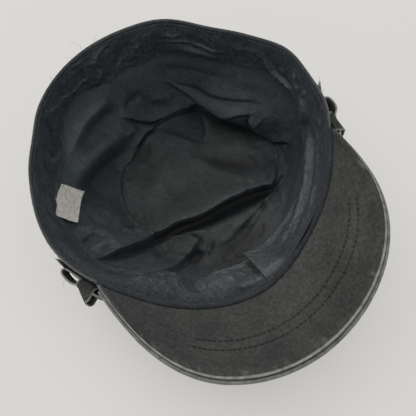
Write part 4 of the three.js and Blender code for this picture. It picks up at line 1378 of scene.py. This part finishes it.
@dataclass
class SweatbandPart:
    """The dark cloth band inside the opening, lapped at the front right."""

    top_drop: float = 0.2
    face: float = 1.0
    thick: float = 0.6
    join_deg: float = 10.0
    lap_deg: float = 3.0
    lap_lift: float = 6.0
    lap_slant: float = 7.0
    cut_width: float = 38.0
    columns: int = 560
    rows: int = 66
    creasing: Creasing = field(init=False)

    def __post_init__(self) -> None:
        """Lay the folds on the smooth band."""
        share = np.stack(np.meshgrid(np.linspace(0, 1, 280), np.linspace(0, 1, 30)), -1).reshape(-1, 2)
        theta, drop = self._grid(share[:, 0], share[:, 1])
        smooth = LINING_WALL.place(theta, drop, self.face)
        self.creasing = Creasing(SWEATBAND_FOLDS, SWEATBAND_WRINKLES, smooth)

    def build(self) -> list[bpy.types.Object]:
        """Return the band and the stitches along its upper edge."""
        band = Sheet("sweatband_cloth", BAND_CLOTH, 590.0, 37.0, self.columns, self.rows, self.thick)
        piece = band.build(self._shape, self._wear, self._inward, self._painted_light)
        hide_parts("sweatband")
        share = np.linspace(0.001, 0.999, 900)
        down = np.full_like(share, 0.1)
        path = self._shape(share, down)
        row = Stitch(2.2, 1.1, 0.42).row("sweatband_stitches", path, self._inward(share, down))
        return [piece, row]

    def _grid(self, across: np.ndarray, down: np.ndarray) -> tuple[np.ndarray, np.ndarray]:
        """Return the angles and the lengths below the edge.

        Args:
            across: Shares of the way across.
            down: Shares of the way down.

        Returns:
            Both, one value for each place.
        """
        start = self.join_deg - self.lap_deg + self.lap_slant * (down - 0.5)
        theta = np.radians(start + across * (360 + self.lap_deg))
        around_cap = (theta + math.pi) % (2 * math.pi) - math.pi
        dents = (dent.out * bell(from_deg(around_cap, dent.deg), dent.wide) for dent in HEM_DENTS)
        hem = sum(dents, closed_curve(SWEATBAND_HEM, around_cap))
        return theta, self.top_drop + down * (hem - self.top_drop)

    def _shape(self, across: np.ndarray, down: np.ndarray) -> np.ndarray:
        """Return the creased band, lapped over its own end.

        Args:
            across: Shares of the way across.
            down: Shares of the way down.

        Returns:
            Places in millimetres.
        """
        theta, drop = self._grid(across, down)
        inward = LINING_WALL.inward(theta, drop)
        off = self.face - 1.3 * (1 - smoothstep(drop, 1.0, 14.0)) - 0.7 * (1 - smoothstep(drop, 0.0, 1.6))
        off += self.lap_lift * (1 - smoothstep(across, 0.0, 0.05)) * smoothstep(drop, 6.0, 34.0)
        off += 0.8 * (1 - smoothstep(across, 0.0, 0.02)) * smoothstep(drop, 1.0, 5.0)
        from_hem = (1 - down) * self.cut_width
        front = 0.2 + 0.8 * smoothstep(np.cos(theta), -0.3, 0.3)
        for lift, up, wide in HEM_RIDGES:
            off += front * lift * bell(from_hem - up, wide)
        base = LINING_WALL.place(theta, drop) + inward * off[:, None]
        return self.creasing.apply(base, inward, smoothstep(drop, 2.0, 9.0))

    def _inward(self, across: np.ndarray, down: np.ndarray) -> np.ndarray:
        """Return the directions towards the inside of the cap."""
        return LINING_WALL.inward(*self._grid(across, down))

    def _wear(self, across: np.ndarray, down: np.ndarray) -> np.ndarray:
        """Return how worn the cloth is, with painted shade beside the edge, where the seam shades it, and at
        the left, and painted light over the front.

        Args:
            across: Shares of the way across.
            down: Shares of the way down.

        Returns:
            Shares from 0 to 1.
        """
        theta, drop = self._grid(across, down)
        left = bell(from_deg(theta, -110.0), 60.0)
        front = bell(from_deg(theta, -18.0), 48.0) * smoothstep(drop, 8.0, 16.0)
        edge = 1 - smoothstep(drop, 2.0, 9.0)
        # Painted shade beside the edge and at the left, painted light over the front
        return self.creasing.wear_and_shading(0.26, 0.42) - 0.35 * edge - 0.04 - 0.26 * left + 0.27 * front

    def _painted_light(self, across: np.ndarray, down: np.ndarray) -> np.ndarray:
        """Return how much brighter, warmer light is painted on the cloth: only over the forehead."""
        theta, drop = self._grid(across, down)
        return bell(from_deg(theta, -16.0), 54.0) * smoothstep(drop, 6.0, 14.0)


# Canvas shell


def on_band(theta: np.ndarray, drop: np.ndarray, off: np.ndarray | float) -> np.ndarray:
    """Return places on the outside of the headband, at a distance off its cloth."""
    theta, drop, off = np.broadcast_arrays(theta, drop, np.asarray(off, float))
    return CANVAS_WALL.place(theta, drop) - CANVAS_WALL.inward(theta, drop) * off[:, None]


THREAD_RADIUS = 0.14


@dataclass(frozen=True)
class LooseThread:
    """A loose thread: its name, its root on the band, how far it runs round, out and up, and its bend."""

    name: str
    deg: float
    drop: float
    off: float
    round: float
    out: float
    up: float
    bend: float
    cloth: Cloth = WORN_CANVAS

    def build(self) -> bpy.types.Object:
        """Return the thread."""
        theta, drop = np.array([math.radians(self.deg)]), np.array([self.drop])
        root = on_band(theta, drop, self.off)[0]
        out = -CANVAS_WALL.inward(theta, drop)[0]
        side = unit(np.cross(UP, out))
        share = np.linspace(0, 1, 14)[:, None]
        run = side * self.round + out * self.out + UP * self.up
        square = unit(np.cross(run, out + UP * 0.6))
        path = root + run * share + square * np.sin(share * math.pi * 1.4) * self.bend
        return tube(self.name, path, THREAD_RADIUS, self.cloth, 1)


EDGE_THREADS = (
    LooseThread("edge_thread_1", -176.0, 0.4, 0.2, 1.0, 9.5, 1.0, 1.2, DARK_THREAD),
    LooseThread("edge_thread_2", 179.0, 0.4, 0.2, -5.0, 2.6, 1.5, 1.0),
    LooseThread("edge_thread_3", -171.0, 0.4, 0.2, 2.5, 3.4, 1.0, 0.8, DARK_THREAD),
    LooseThread("edge_thread_4", -160.0, 0.4, 0.2, -1.5, 2.6, 0.6, 0.6, DARK_THREAD),
)


@dataclass
class ShellPart:
    """The canvas outside: headband, side wall and crown disc."""

    hem_half: float = 0.6
    hem_turned: float = 4.0
    band_cut: float = 40.0
    tuck: float = 3.0
    creasing: Creasing = field(default_factory=lambda: Creasing((), (
        Wrinkles(1.3, (30.0, 30.0, 16.0), 0.4, 2.3, 3), Wrinkles(0.35, (7.0, 7.0, 12.0), 0.5, 6.1, 2),
    )))
    band_creasing: Creasing = field(default_factory=lambda: Creasing((), (
        Wrinkles(0.25, (14.0, 14.0, 10.0), 0.3, 4.0, 2),
    )))

    def build(self) -> list[bpy.types.Object]:
        """Return the three canvas pieces and their seams' stitches."""
        band = Sheet("headband_canvas", CANVAS, 590.0, 40.0, 440, 52, 0.55, closed=True)
        headband = band.build(self._band_shape, self._band_wear, self._outward)
        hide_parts("headband")
        side = Sheet("crown_wall", CANVAS, 590.0, 62.0, 440, 60, 1.1, closed=True)
        wall = side.build(self._side_shape, self._side_wear, self._outward)
        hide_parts("crown_side")
        disc = Sheet("crown_disc", CANVAS, 170.0, 160.0, 110, 110, 1.0)
        crown = disc.build(self._disc_shape, None, self._down)
        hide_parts("crown_top")
        rows = []
        share = np.linspace(0, 1, 900)
        for name, down in (("headband_stitches_upper", 0.17), ("headband_stitches_lower", 0.93)):
            level = np.full_like(share, down)
            rows.append(Stitch().row(name, self._band_shape(share, level), self._outward(share, level)))
        rows += [loose.build() for loose in EDGE_THREADS]
        return [headband, wall, crown, *rows]

    def _band_shape(self, across: np.ndarray, down: np.ndarray) -> np.ndarray:
        """Return the headband: a hem turned over the edge, then the outer face.

        Args:
            across: Shares of the way across.
            down: Shares of the way down.

        Returns:
            Places in millimetres.
        """
        theta = turns(across)
        length = down * self.band_cut
        over = length < self.hem_turned
        drop = np.abs(self.hem_turned - length)
        half = self.hem_half
        lift = half * np.sqrt(np.clip(1 - (np.minimum(drop, half) / half - 1) ** 2, 0, 1))
        off = half + np.where(over, lift, -lift)
        base = CANVAS_WALL.place(theta, np.maximum(drop, 0.0), off)
        outward = -CANVAS_WALL.inward(theta, drop)
        return self.band_creasing.apply(base, outward, smoothstep(drop, 1, 6) * np.where(over, 0.0, 1.0))

    def _band_wear(self, across: np.ndarray, down: np.ndarray) -> np.ndarray:
        """Return how worn the band is: most along its turned edge.

        Args:
            across: Shares of the way across.
            down: Shares of the way down.

        Returns:
            Shares from 0 to 1.
        """
        inside = 0.7 * (1 - smoothstep(down, 0.06, 0.095))
        edges = 0.35 * bell(down - 0.11, 0.012) - inside + 0.25 * bell(down - 1.0, 0.03)
        return edges + self.band_creasing.crest * 0.2

    def _side_shape(self, across: np.ndarray, down: np.ndarray) -> np.ndarray:
        """Return the creased side wall, from under the band to the crown seam.

        Args:
            across: Shares of the way across.
            down: Shares of the way down.

        Returns:
            Places in millimetres.
        """
        theta = turns(across)
        top = BAND_WIDTH - self.tuck
        drop = top + down * (CANVAS_WALL.length(theta) - top)
        inward = CANVAS_WALL.inward(theta, drop)
        base = CANVAS_WALL.place(theta, drop) + inward * (1.6 * (1 - smoothstep(down, 0.05, 0.16)))[:, None]
        share = smoothstep(down, 0.05, 0.2) * smoothstep(1 - down, 0.0, 0.12)
        points = self.creasing.apply(base, -inward, share)
        points[:, 2] = np.maximum(points[:, 2], 0.0)
        return points

    def _side_wear(self, across: np.ndarray, down: np.ndarray) -> np.ndarray:
        """Return how worn the wall is: along the crown seam and on its crests."""
        return 0.6 * bell(down - 0.975, 0.02) + self.creasing.crest * 0.35

    def _outward(self, across: np.ndarray, down: np.ndarray) -> np.ndarray:
        """Return the directions out of the cap."""
        theta = turns(across)
        return -CANVAS_WALL.inward(theta, down * BAND_WIDTH)

    def _disc_shape(self, across: np.ndarray, down: np.ndarray) -> np.ndarray:
        """Return the flat crown, on the surface that it lies on.

        Args:
            across: Shares of the way across.
            down: Shares of the way down.

        Returns:
            Places in millimetres.
        """
        theta, reach = disc_polar(across, down)
        edge = CANVAS_WALL.place(theta, CANVAS_WALL.length(theta) - 0.05)[:, :2]
        flat = CROWN_CENTRE + (edge - CROWN_CENTRE) * (reach * 0.995)[:, None]
        high = 0.9 * reach**12 + 0.25 * (1 - reach)
        return np.column_stack((flat, high))

    def _down(self, across: np.ndarray, down: np.ndarray) -> np.ndarray:
        """Return the downward direction."""
        return np.tile(-UP, (len(across), 1))


# Peak


@dataclass
class PeakPart:
    """The curved peak: boarded canvas, the panel on its underside, its rolled edge and its stitching."""

    depth: float = 51.5
    corner_deg: float = 71.9
    shape: float = 4.16
    forward: float = 0.61
    tilt_deg: float = 18.6
    board: float = 2.4
    panel: float = 1.2
    panel_inset: float = -0.8
    piping: float = 1.4
    pucker_pitch: float = 8.4
    dark_band: tuple[float, float] = (11.0, 20.0)
    corner_share: float = 0.992
    row_insets: tuple[float, float] = (26.0, 19.5)
    row_ends: tuple[tuple[float, float], tuple[float, float]] = ((-0.52, 0.68), (-0.56, 0.72))

    def place(self, t: np.ndarray, w: np.ndarray, lift: np.ndarray | float, inset: float = 0.0) -> np.ndarray:
        """Return places on the peak.

        Args:
            t: Place along the seam, from -1 to 1.
            w: Share of the depth.
            lift: Distance off the underside, upwards as the cap lies.
            inset: How much shorter than the whole depth.

        Returns:
            The places.
        """
        out, seam, depth, normal = self._frame(t, inset)
        tilt = math.radians(self.tilt_deg)
        along = (depth * w)[:, None]
        lift = np.broadcast_to(np.asarray(lift, float), t.shape)[:, None]
        return seam + out * along * math.cos(tilt) + UP * along * math.sin(tilt) + normal * lift

    def _frame(self, t: np.ndarray, inset: float) -> tuple[np.ndarray, np.ndarray, np.ndarray, np.ndarray]:
        """Return the outward direction, the seam, the depth and the normal along the peak.

        Args:
            t: Places along the peak, from -1 to 1 in its corners.
            inset: Length left out at its edge.

        Returns:
            The four, one for each place.
        """
        theta = math.radians(self.corner_deg) * t
        seam = around(theta, edge_radius(theta) + GAP, edge_height(theta))
        step = 0.004
        behind, ahead = (around(theta + way, edge_radius(theta + way), 0.0) for way in (-step, step))
        run = ahead - behind
        out = unit(np.stack((run[:, 1], -run[:, 0], np.zeros(len(t))), -1)) * (1 - self.forward)
        out = unit(out + np.array((0.0, -self.forward, 0.0)))
        tilt = math.radians(self.tilt_deg)
        normal = out * -math.sin(tilt) + UP * math.cos(tilt)
        return out, seam, self._depth(t, inset), normal

    def _depth(self, t: np.ndarray, inset: float) -> np.ndarray:
        """Return the depth along the peak, less an inset."""
        return np.maximum(0.0, self.depth * (1 - np.abs(t) ** self.shape) - inset)

    def build(self) -> list[bpy.types.Object]:
        """Return the peak's pieces."""
        under = Sheet("peak_underside", CANVAS, 200.0, 50.0, 300, 90, self.panel)
        panel = under.build(self._under_shape, self._under_wear, self._up)
        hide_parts("peak_under")
        upper = Sheet("peak_canvas", CANVAS, 200.0, 52.0, 260, 60, self.board)
        top = upper.build(self._upper_shape, self._upper_wear, self._under_down)
        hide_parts("peak_upper")
        t = self._share(np.linspace(0, 1, 260))
        out = self._frame(t, 0.0)[0]
        path = self.place(t, np.ones_like(t), -self.panel - GAP - self.board / 2) + out * (self.piping * 0.9)
        edge = tube("peak_rolled_edge", path, self.piping, STRAP_CANVAS, 4, 0.35)
        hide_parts("peak_piping")
        rows = []
        for number, (inset, (start, end)) in enumerate(zip(self.row_insets, self.row_ends), 1):
            t = np.linspace(start, end, 260)
            path = self.place(t, np.ones_like(t), -0.15, inset)
            rows.append(Stitch(2.2, 1.1, 0.55).row(f"peak_stitches_{number}", path, self._frame(t, 0.0)[3]))
        binding = self._binding()
        return [panel, top, edge, binding, *rows]

    def _binding(self) -> bpy.types.Object:
        """Return the narrow strip over the seam between the sweatband and the peak."""
        def shape(across: np.ndarray, down: np.ndarray) -> np.ndarray:
            """Return the strip's rounded face.

            Args:
                across: Shares of the way across.
                down: Shares of the way down.

            Returns:
                Places in millimetres.
            """
            theta = math.radians(self.corner_deg) * (across * 2 - 1)
            radius = edge_radius(theta) + 0.6 - 2.6 * down
            return around(theta, radius, edge_height(theta) + GAP + 0.9 * np.sin(down * math.pi) ** 0.6)

        sheet = Sheet("seam_binding", BINDING, 205.0, 3.6, 260, 8, 0.5)
        piece = sheet.build(shape, None, lambda across, down: np.tile(UP, (len(across), 1)))
        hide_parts("rim_binding")
        return piece

    def _share(self, across: np.ndarray) -> np.ndarray:
        """Return the place along the seam, closer together at the corners."""
        return np.sin((across - 0.5) * math.pi) * self.corner_share

    def _from_edge(self, t: np.ndarray, down: np.ndarray, inset: float) -> np.ndarray:
        """Return the distance from the outer edge."""
        return self._depth(t, inset) * (1 - down)

    def _puckers(self, t: np.ndarray, near: np.ndarray) -> np.ndarray:
        """Return how far each place stands on one of the pulls along the edge.

        Args:
            t: Places along the peak, from -1 to 1 in its corners.
            near: Lengths in from its edge.

        Returns:
            Shares from 0 to 1.
        """
        run = t * 100.0 + 4.0 * np.sin(t * 9.0) + 2.0 * np.sin(t * 31.0)
        strength = 0.55 + 0.45 * np.sin(t * 23.0) * np.cos(t * 7.0)
        pulls = (0.5 + 0.5 * np.cos(run / self.pucker_pitch * 2 * math.pi)) ** 2
        return pulls * strength * bell(near - 4.0, 3.0)

    def _under_shape(self, across: np.ndarray, down: np.ndarray) -> np.ndarray:
        """Return the underside panel: puckered, rolled at its edge and sunk along the stitching.

        Args:
            across: Shares of the way across.
            down: Shares of the way down.

        Returns:
            Places in millimetres.
        """
        t = self._share(across)
        near = self._from_edge(t, down, self.panel_inset)
        lift = 0.35 * self._puckers(t, near) + 0.4 * bell(near - 1.2, 0.9) - 1.1 * bell(near, 0.6)
        lift = lift + 0.45 * (1 - smoothstep(near, 6.0, 10.0))
        for inset, (start, end) in zip(self.row_insets, self.row_ends):
            inside = smoothstep(t, start - 0.03, start + 0.03) * smoothstep(-t, -end - 0.03, -end + 0.03)
            lift = lift - 0.4 * bell(near + self.panel_inset - inset, 0.9) * inside
        base = self.place(t, down, 0.0, self.panel_inset)
        wave = Wrinkles(0.35, (22.0, 22.0, 22.0), 0.2, 2.9, 3).heights(base)
        lift = lift + wave * smoothstep(near, 1.0, 8.0) * smoothstep(down, 0.0, 0.15)
        return base + self._frame(t, 0.0)[3] * lift[:, None]

    def _under_wear(self, across: np.ndarray, down: np.ndarray) -> np.ndarray:
        """Return how worn the underside is: along its edge and on the pulls. It is darker in a band inside
        the edge, and painted shade darkens the stitch rows.

        Args:
            across: Shares of the way across.
            down: Shares of the way down.

        Returns:
            Shares from 0 to 1.
        """
        t = self._share(across)
        near = self._from_edge(t, down, self.panel_inset)
        faded = 0.05 * smoothstep(near, *self.dark_band) - 0.12 * bell(near - 10.0, 6.0) - 0.06
        # Painted shade along the stitch rows
        for inset in self.row_insets:
            faded = faded - 0.3 * bell(near + self.panel_inset - inset, 0.7)
        return faded + 0.95 * bell(near - 0.7, 0.6) + 0.30 * self._puckers(t, near)

    def _upper_shape(self, across: np.ndarray, down: np.ndarray) -> np.ndarray:
        """Return the peak's upper canvas, which faces the surface that the cap lies on."""
        t = self._share(across)
        return self.place(t, down, -self.panel - GAP - self.board, 0.2)

    def _upper_wear(self, across: np.ndarray, down: np.ndarray) -> np.ndarray:
        """Return how worn the upper canvas is: towards its edge."""
        return 0.8 * bell(self._from_edge(self._share(across), down, 0.0), 1.6)

    def _up(self, across: np.ndarray, down: np.ndarray) -> np.ndarray:
        """Return the directions off the underside."""
        return self._frame(self._share(across), 0.0)[3]

    def _under_down(self, across: np.ndarray, down: np.ndarray) -> np.ndarray:
        """Return the directions off the upper canvas, downwards as the cap lies."""
        return -self._up(across, down)


# Trim


@dataclass(frozen=True)
class Keeper:
    """A canvas loop that holds the strap, and the strap's end there.

    deg is its angle, back which way the back of the cap lies, flare how far its front end swings out, mouth
    how wide it gapes there and slant how far its outer side is drawn back. reach and spread make the strap's
    loop longer and wider, curl is how far the tab's end stands off and rise how far it turns up.
    """

    name: str
    deg: float
    back: int
    flare: float
    mouth: float
    slant: float
    reach: float
    spread: float
    curl: float
    rise: float


KEEPERS = (Keeper("left", -76.0, -1, 0.6, 1.68, 3.6, 1.0, 1.0, 0.7, 0.0),
           Keeper("right", 77.0, 1, 4.6, 1.0, 1.0, 0.88, 1.45, 5.0, 4.5))
# The strap at both ends: length from the keeper's middle towards the back of the cap, distance off the band,
# and how far its upper edge leans out
STRAP_END = (
    (0, 2.0, 0), (5.5, 1.9, 0), (10.0, 1.9, 0), (13.6, 2.0, 0.2), (15.4, 2.3, 0.6), (15.9, 2.9, 0.9),
    (15.0, 3.7, 1.2), (11.5, 4.6, 1.4), (7.6, 4.7, 1.2), (4.5, 4.0, 0.3), (0.0, 4.2, 0), (-5.5, 5.2, 0),
    (-13.5, 3.6, 0), (-21.5, 1.6, 0),
)
# From here towards the front, the strap's spread is the same at both ends
STRAP_FLAT_FROM = -20


FRAYS = {
    "left": (
        LooseThread("fray_left_1", -89.6, 13.5, 1.4, 2.6, 1.6, 1.5, 0.6),
        LooseThread("fray_left_2", -89.8, 16.0, 1.4, 3.2, 0.8, -0.6, -0.5),
        LooseThread("fray_left_3", -89.2, 19.0, 1.4, 2.2, 2.2, -1.2, 0.4),
        LooseThread("fray_left_4", -84.0, 15.0, 6.8, -1.2, 4.4, -4.4, 0.7, DARK_THREAD),
    ),
    "right": (
        LooseThread("fray_right_1", 90.4, 8.8, 5.6, 2.8, 2.4, 2.0, 0.9),
        LooseThread("fray_right_2", 90.2, 10.6, 5.6, 2.4, 1.4, -0.6, -0.8),
        LooseThread("fray_right_3", 89.9, 13.0, 5.4, 2.0, 1.6, -1.6, 0.5),
        LooseThread("fray_right_4", 87.0, 9.6, 3.6, 0.8, 2.8, 1.6, 0.6),
    ),
}


def squared(wave: np.ndarray, power: float) -> np.ndarray:
    """Return a sine wave made squarer."""
    return np.sign(wave) * np.abs(wave) ** power


@dataclass
class TrimPart:
    """The strap over the front with its keepers and tabs, their frayed threads, and the label."""

    strap_steps: int = 360
    strap_drop: float = 17.0
    strap_width: float = 11.0
    strap_thick: float = 1.2
    keeper_length: float = 11.0
    keeper_tall: float = 13.6
    keeper_deep: float = 7.2
    keeper_dip: float = 0.9
    throat: float = 0.62
    tab_length: float = 17.0
    tab_width: float = 9.0
    flat_radius: float = 90.0

    def build(self) -> list[bpy.types.Object]:
        """Return every piece of trim."""
        pieces = [self._strap(), self._label()]
        for keeper in KEEPERS:
            pieces += [self._keeper(keeper), *self._tab(keeper)]
        return pieces

    def _outward(self, theta: np.ndarray) -> np.ndarray:
        """Return the directions out of the cap at the strap's height."""
        return -CANVAS_WALL.inward(theta, np.full_like(theta, self.strap_drop))

    def _strap_line(self, count: int) -> np.ndarray:
        """Return the strap's line on the band laid flat: length along the band, distance off it and lean.

        Args:
            count: How many points.

        Returns:
            One row for each point.
        """
        def end(keeper: Keeper) -> list[tuple[float, float, float]]:
            """Return the knots at one end.

            Args:
                keeper: The keeper there.

            Returns:
                Length along the band, distance off it and lean.
            """
            middle = math.radians(keeper.deg)
            per = keeper.back / float(edge_radius(np.array([middle]))[0])
            knots = []
            for back, off, lean in STRAP_END:
                reach = keeper.reach if back > 0 else 1.0
                spread = keeper.spread if back > STRAP_FLAT_FROM else 1.0
                knots.append(((middle + back * reach * per) * self.flat_radius, off * spread, lean))
            return knots

        front = [(math.radians(-50 + 10.5 * k) * self.flat_radius, 1.2, 0.0) for k in range(11)]
        left, right = (end(keeper) for keeper in KEEPERS)
        line = spline(np.array([*left, *front, *right[::-1]], dtype=float), 1200)
        length = run_lengths(line)
        return read_off(np.linspace(0, length[-1], count), length, line)

    def _strap(self) -> bpy.types.Object:
        """Return the strap: a folded strip with ridged edges, looped back at both ends."""
        line = self._strap_line(self.strap_steps + 1)

        def shape(across: np.ndarray, down: np.ndarray) -> np.ndarray:
            """Return the strap's face.

            Args:
                across: Shares of the way across.
                down: Shares of the way down.

            Returns:
                Places in millimetres.
            """
            along, off, lean = read_off(across * self.strap_steps, np.arange(self.strap_steps + 1), line).T
            edge = np.abs(down - 0.5) * 2
            ridge = 0.22 * bell(edge - 0.86, 0.12) - 0.15 * bell(edge - 0.66, 0.1)
            drop = self.strap_drop + (down - 0.5) * self.strap_width
            return on_band(along / self.flat_radius, drop, off + ridge + lean * (1 - 2 * down))

        size = (330.0, self.strap_width, self.strap_steps, 14, self.strap_thick)
        sheet = Sheet("strap_canvas", STRAP_CANVAS, *size)
        piece = sheet.build(shape, lambda across, down: 0.7 * smoothstep(np.abs(down - 0.5) * 2, 0.8, 1.0))
        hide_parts("front_strap")
        return piece

    def _keeper(self, keeper: Keeper) -> bpy.types.Object:
        """Return one keeper: a flat tube of canvas round the strap.

        Args:
            keeper: Its sizes.

        Returns:
            The object.
        """
        middle = math.radians(keeper.deg)
        per = 1.0 / float(edge_radius(np.array([middle]))[0])

        def shape(across: np.ndarray, down: np.ndarray) -> np.ndarray:
            """Return the tube's outer face.

            Args:
                across: Shares of the way across.
                down: Shares of the way down.

            Returns:
                Places in millimetres.
            """
            turn = across * 2 * math.pi
            front = down if keeper.back < 0 else 1 - down
            outer = 0.5 + 0.5 * np.cos(turn)
            drawn = keeper.back * keeper.slant * outer * (0.4 + 0.6 * front)
            theta = middle + ((down - 0.5) * self.keeper_length + drawn) * per
            gape = self.throat + (keeper.mouth - self.throat) * front + 0.08 * bell(front - 0.16, 0.06)
            half = self.keeper_deep / 2 * gape
            tall = squared(np.sin(turn), 0.24) * self.keeper_tall / 2 * (0.9 + 0.06 * front)
            deep = squared(np.cos(turn), 0.3) * half
            off = GAP + half + deep + keeper.flare * front**1.3
            return on_band(theta, self.strap_drop + tall + self.keeper_dip * front, off)

        name = f"keeper_{keeper.name}_canvas"
        sheet = Sheet(name, CANVAS, 40.0, self.keeper_length, 96, 32, 1.0, closed=True)
        piece = sheet.build(shape, lambda across, down: 0.75 * smoothstep(np.abs(down - 0.5) * 2, 0.75, 1.0),
                            lambda across, down: self._keeper_out(middle, across))
        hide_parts(f"keeper_{keeper.name}")
        return piece

    def _keeper_out(self, middle: float, across: np.ndarray) -> np.ndarray:
        """Return the directions out of a keeper's tube.

        Args:
            middle: The keeper's angle.
            across: Shares of the way round it.

        Returns:
            Unit directions.
        """
        turn = across * 2 * math.pi
        out = self._outward(np.full_like(across, middle))
        return out * np.cos(turn)[:, None] + -UP * np.sin(turn)[:, None]

    def _tab(self, keeper: Keeper) -> list[bpy.types.Object]:
        """Return the raw-edged tab behind the strap's loop, and its frayed threads.

        Args:
            keeper: The keeper beside it.

        Returns:
            The tab and its threads.
        """
        middle = math.radians(keeper.deg)
        per = keeper.back / float(edge_radius(np.array([middle]))[0])
        start = middle + (self.keeper_length / 2 + GAP) * per

        def shape(across: np.ndarray, down: np.ndarray) -> np.ndarray:
            """Return the tab's face, a little lifted and ragged at its end.

            Args:
                across: Shares of the way across.
                down: Shares of the way down.

            Returns:
                Places in millimetres.
            """
            ragged = 0.8 * np.sin(down * 31.0) * across
            theta = start + (self.tab_length * across + ragged) * per
            width = self.tab_width * (1 - 0.12 * across)
            drop = self.strap_drop + (down - 0.5) * width - keeper.rise * across
            lean = 1.7 * (0.5 - down) * smoothstep(across, 0.0, 0.4)
            off = 1.1 + lean + keeper.curl * across**2 + 0.25 * np.sin(down * 9.0) * across
            return on_band(theta, drop, off)

        name = f"strap_tab_{keeper.name}_canvas"
        sheet = Sheet(name, STRAP_CANVAS, self.tab_length, self.tab_width, 40, 24, 0.7)
        piece = sheet.build(shape, lambda across, down: smoothstep(across, 0.7, 1.0),
                            lambda across, down: self._outward(np.full_like(across, middle)))
        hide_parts(f"strap_tab_{keeper.name}")
        frays = [loose.build() for loose in FRAYS[keeper.name]]
        return [piece, *frays]

    def _label(self) -> bpy.types.Object:
        """Return the bare care label, tucked under the sweatband's free edge and curling off the lining."""
        sides = (np.array(((-112.0, 32.0), (-129.0, 37.6))), np.array(((-108.5, 45.5), (-130.0, 61.0))))

        def shape(across: np.ndarray, down: np.ndarray) -> np.ndarray:
            """Return the label's face.

            Args:
                across: Shares of the way across.
                down: Shares of the way down.

            Returns:
                Places in millimetres.
            """
            hem, free = (side[0] + (side[1] - side[0]) * across[:, None] for side in sides)
            deg, drop = (hem + (free - hem) * down[:, None]).T
            curl = 0.3 + 1.6 * smoothstep(down, 0.05, 0.4) + 3.0 * down**2 * (1 - 0.7 * across)
            curl = curl + 0.8 * np.sin(across * 5.0) * down
            return LINING_WALL.place(np.radians(deg), drop, curl)

        sheet = Sheet("care_label_cloth", LABEL_CLOTH, 25.0, 19.0, 40, 34, 0.3)
        piece = sheet.build(shape, None, lambda across, down: LINING_WALL.inward(
            np.full_like(across, math.radians(-121.5)), np.full_like(across, 44.0)))
        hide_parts("care_label")
        return piece


# Surroundings


@dataclass(frozen=True)
class Studio:
    """The pale floor, the soft lights and the camera."""

    eye: tuple[float, float, float] = (-0.1048, -0.1436, 0.4507)
    aim: tuple[float, float, float] = (-0.0022, -0.0037, 0.050)
    lens: float = 60.3

    def build(self) -> None:
        """Set up the floor, lights and camera."""
        self._floor()
        self._light("ceiling", (0.0, 0.1, 1.7), 2.0, 24.0, (1.0, 0.98, 0.95))
        self._light("window", (-0.35, 1.25, 1.25), 1.3, 19.0, (1.0, 0.95, 0.87))
        world = bpy.data.worlds.new("studio_air")
        bpy.context.scene.world = world
        world.use_nodes = True
        world.node_tree.nodes["Background"].inputs["Color"].default_value = (0.93, 0.965, 1.0, 1.0)
        world.node_tree.nodes["Background"].inputs["Strength"].default_value = 1.25
        lens = bpy.data.cameras.new("camera")
        lens.lens = self.lens
        lens.sensor_width = 36.0
        camera = link_new("camera", lens)
        camera.location = self.eye
        camera.rotation_euler = (Vector(self.aim) - Vector(self.eye)).to_track_quat("-Z", "Y").to_euler()
        bpy.context.scene.camera = camera

    def _floor(self) -> None:
        """Lay the plain pale floor."""
        ground = bmesh.new()
        bmesh.ops.create_grid(ground, x_segments=1, y_segments=1, size=3.0)
        mesh = mesh_of(ground, "floor")
        material = bpy.data.materials.new("pale_floor")
        material.use_nodes = True
        shader = material.node_tree.nodes["Principled BSDF"]
        shader.inputs["Base Color"].default_value = (0.96, 0.91, 0.80, 1.0)
        shader.inputs["Roughness"].default_value = 0.65
        mesh.materials.append(material)
        link_new("floor", mesh)

    def _light(
        self, name: str, place: tuple[float, float, float], size: float, power: float,
        colour: tuple[float, float, float],
    ) -> None:
        """Add one soft light that looks at the cap.

        Args:
            name: Its name.
            place: Where it hangs.
            size: Its width in metres.
            power: Its power in watts.
            colour: Its colour.
        """
        lamp = bpy.data.lights.new(name, "AREA")
        lamp.color = colour
        lamp.size = size
        lamp.energy = power
        holder = link_new(name, lamp)
        holder.location = place
        holder.rotation_euler = (Vector((0, 0, 0.04)) - Vector(place)).to_track_quat("-Z", "Y").to_euler()


def main() -> None:
    """Build the cap and its surroundings."""
    logging.basicConfig(level=logging.INFO, format="%(message)s")
    Studio().build()
    for part in (ShellPart(), LiningPart(), SweatbandPart(), PeakPart(), TrimPart()):
        pieces = part.build()
        LOG.info("%s: %d pieces", type(part).__name__, len(pieces))


if __name__ == "__main__":
    main()
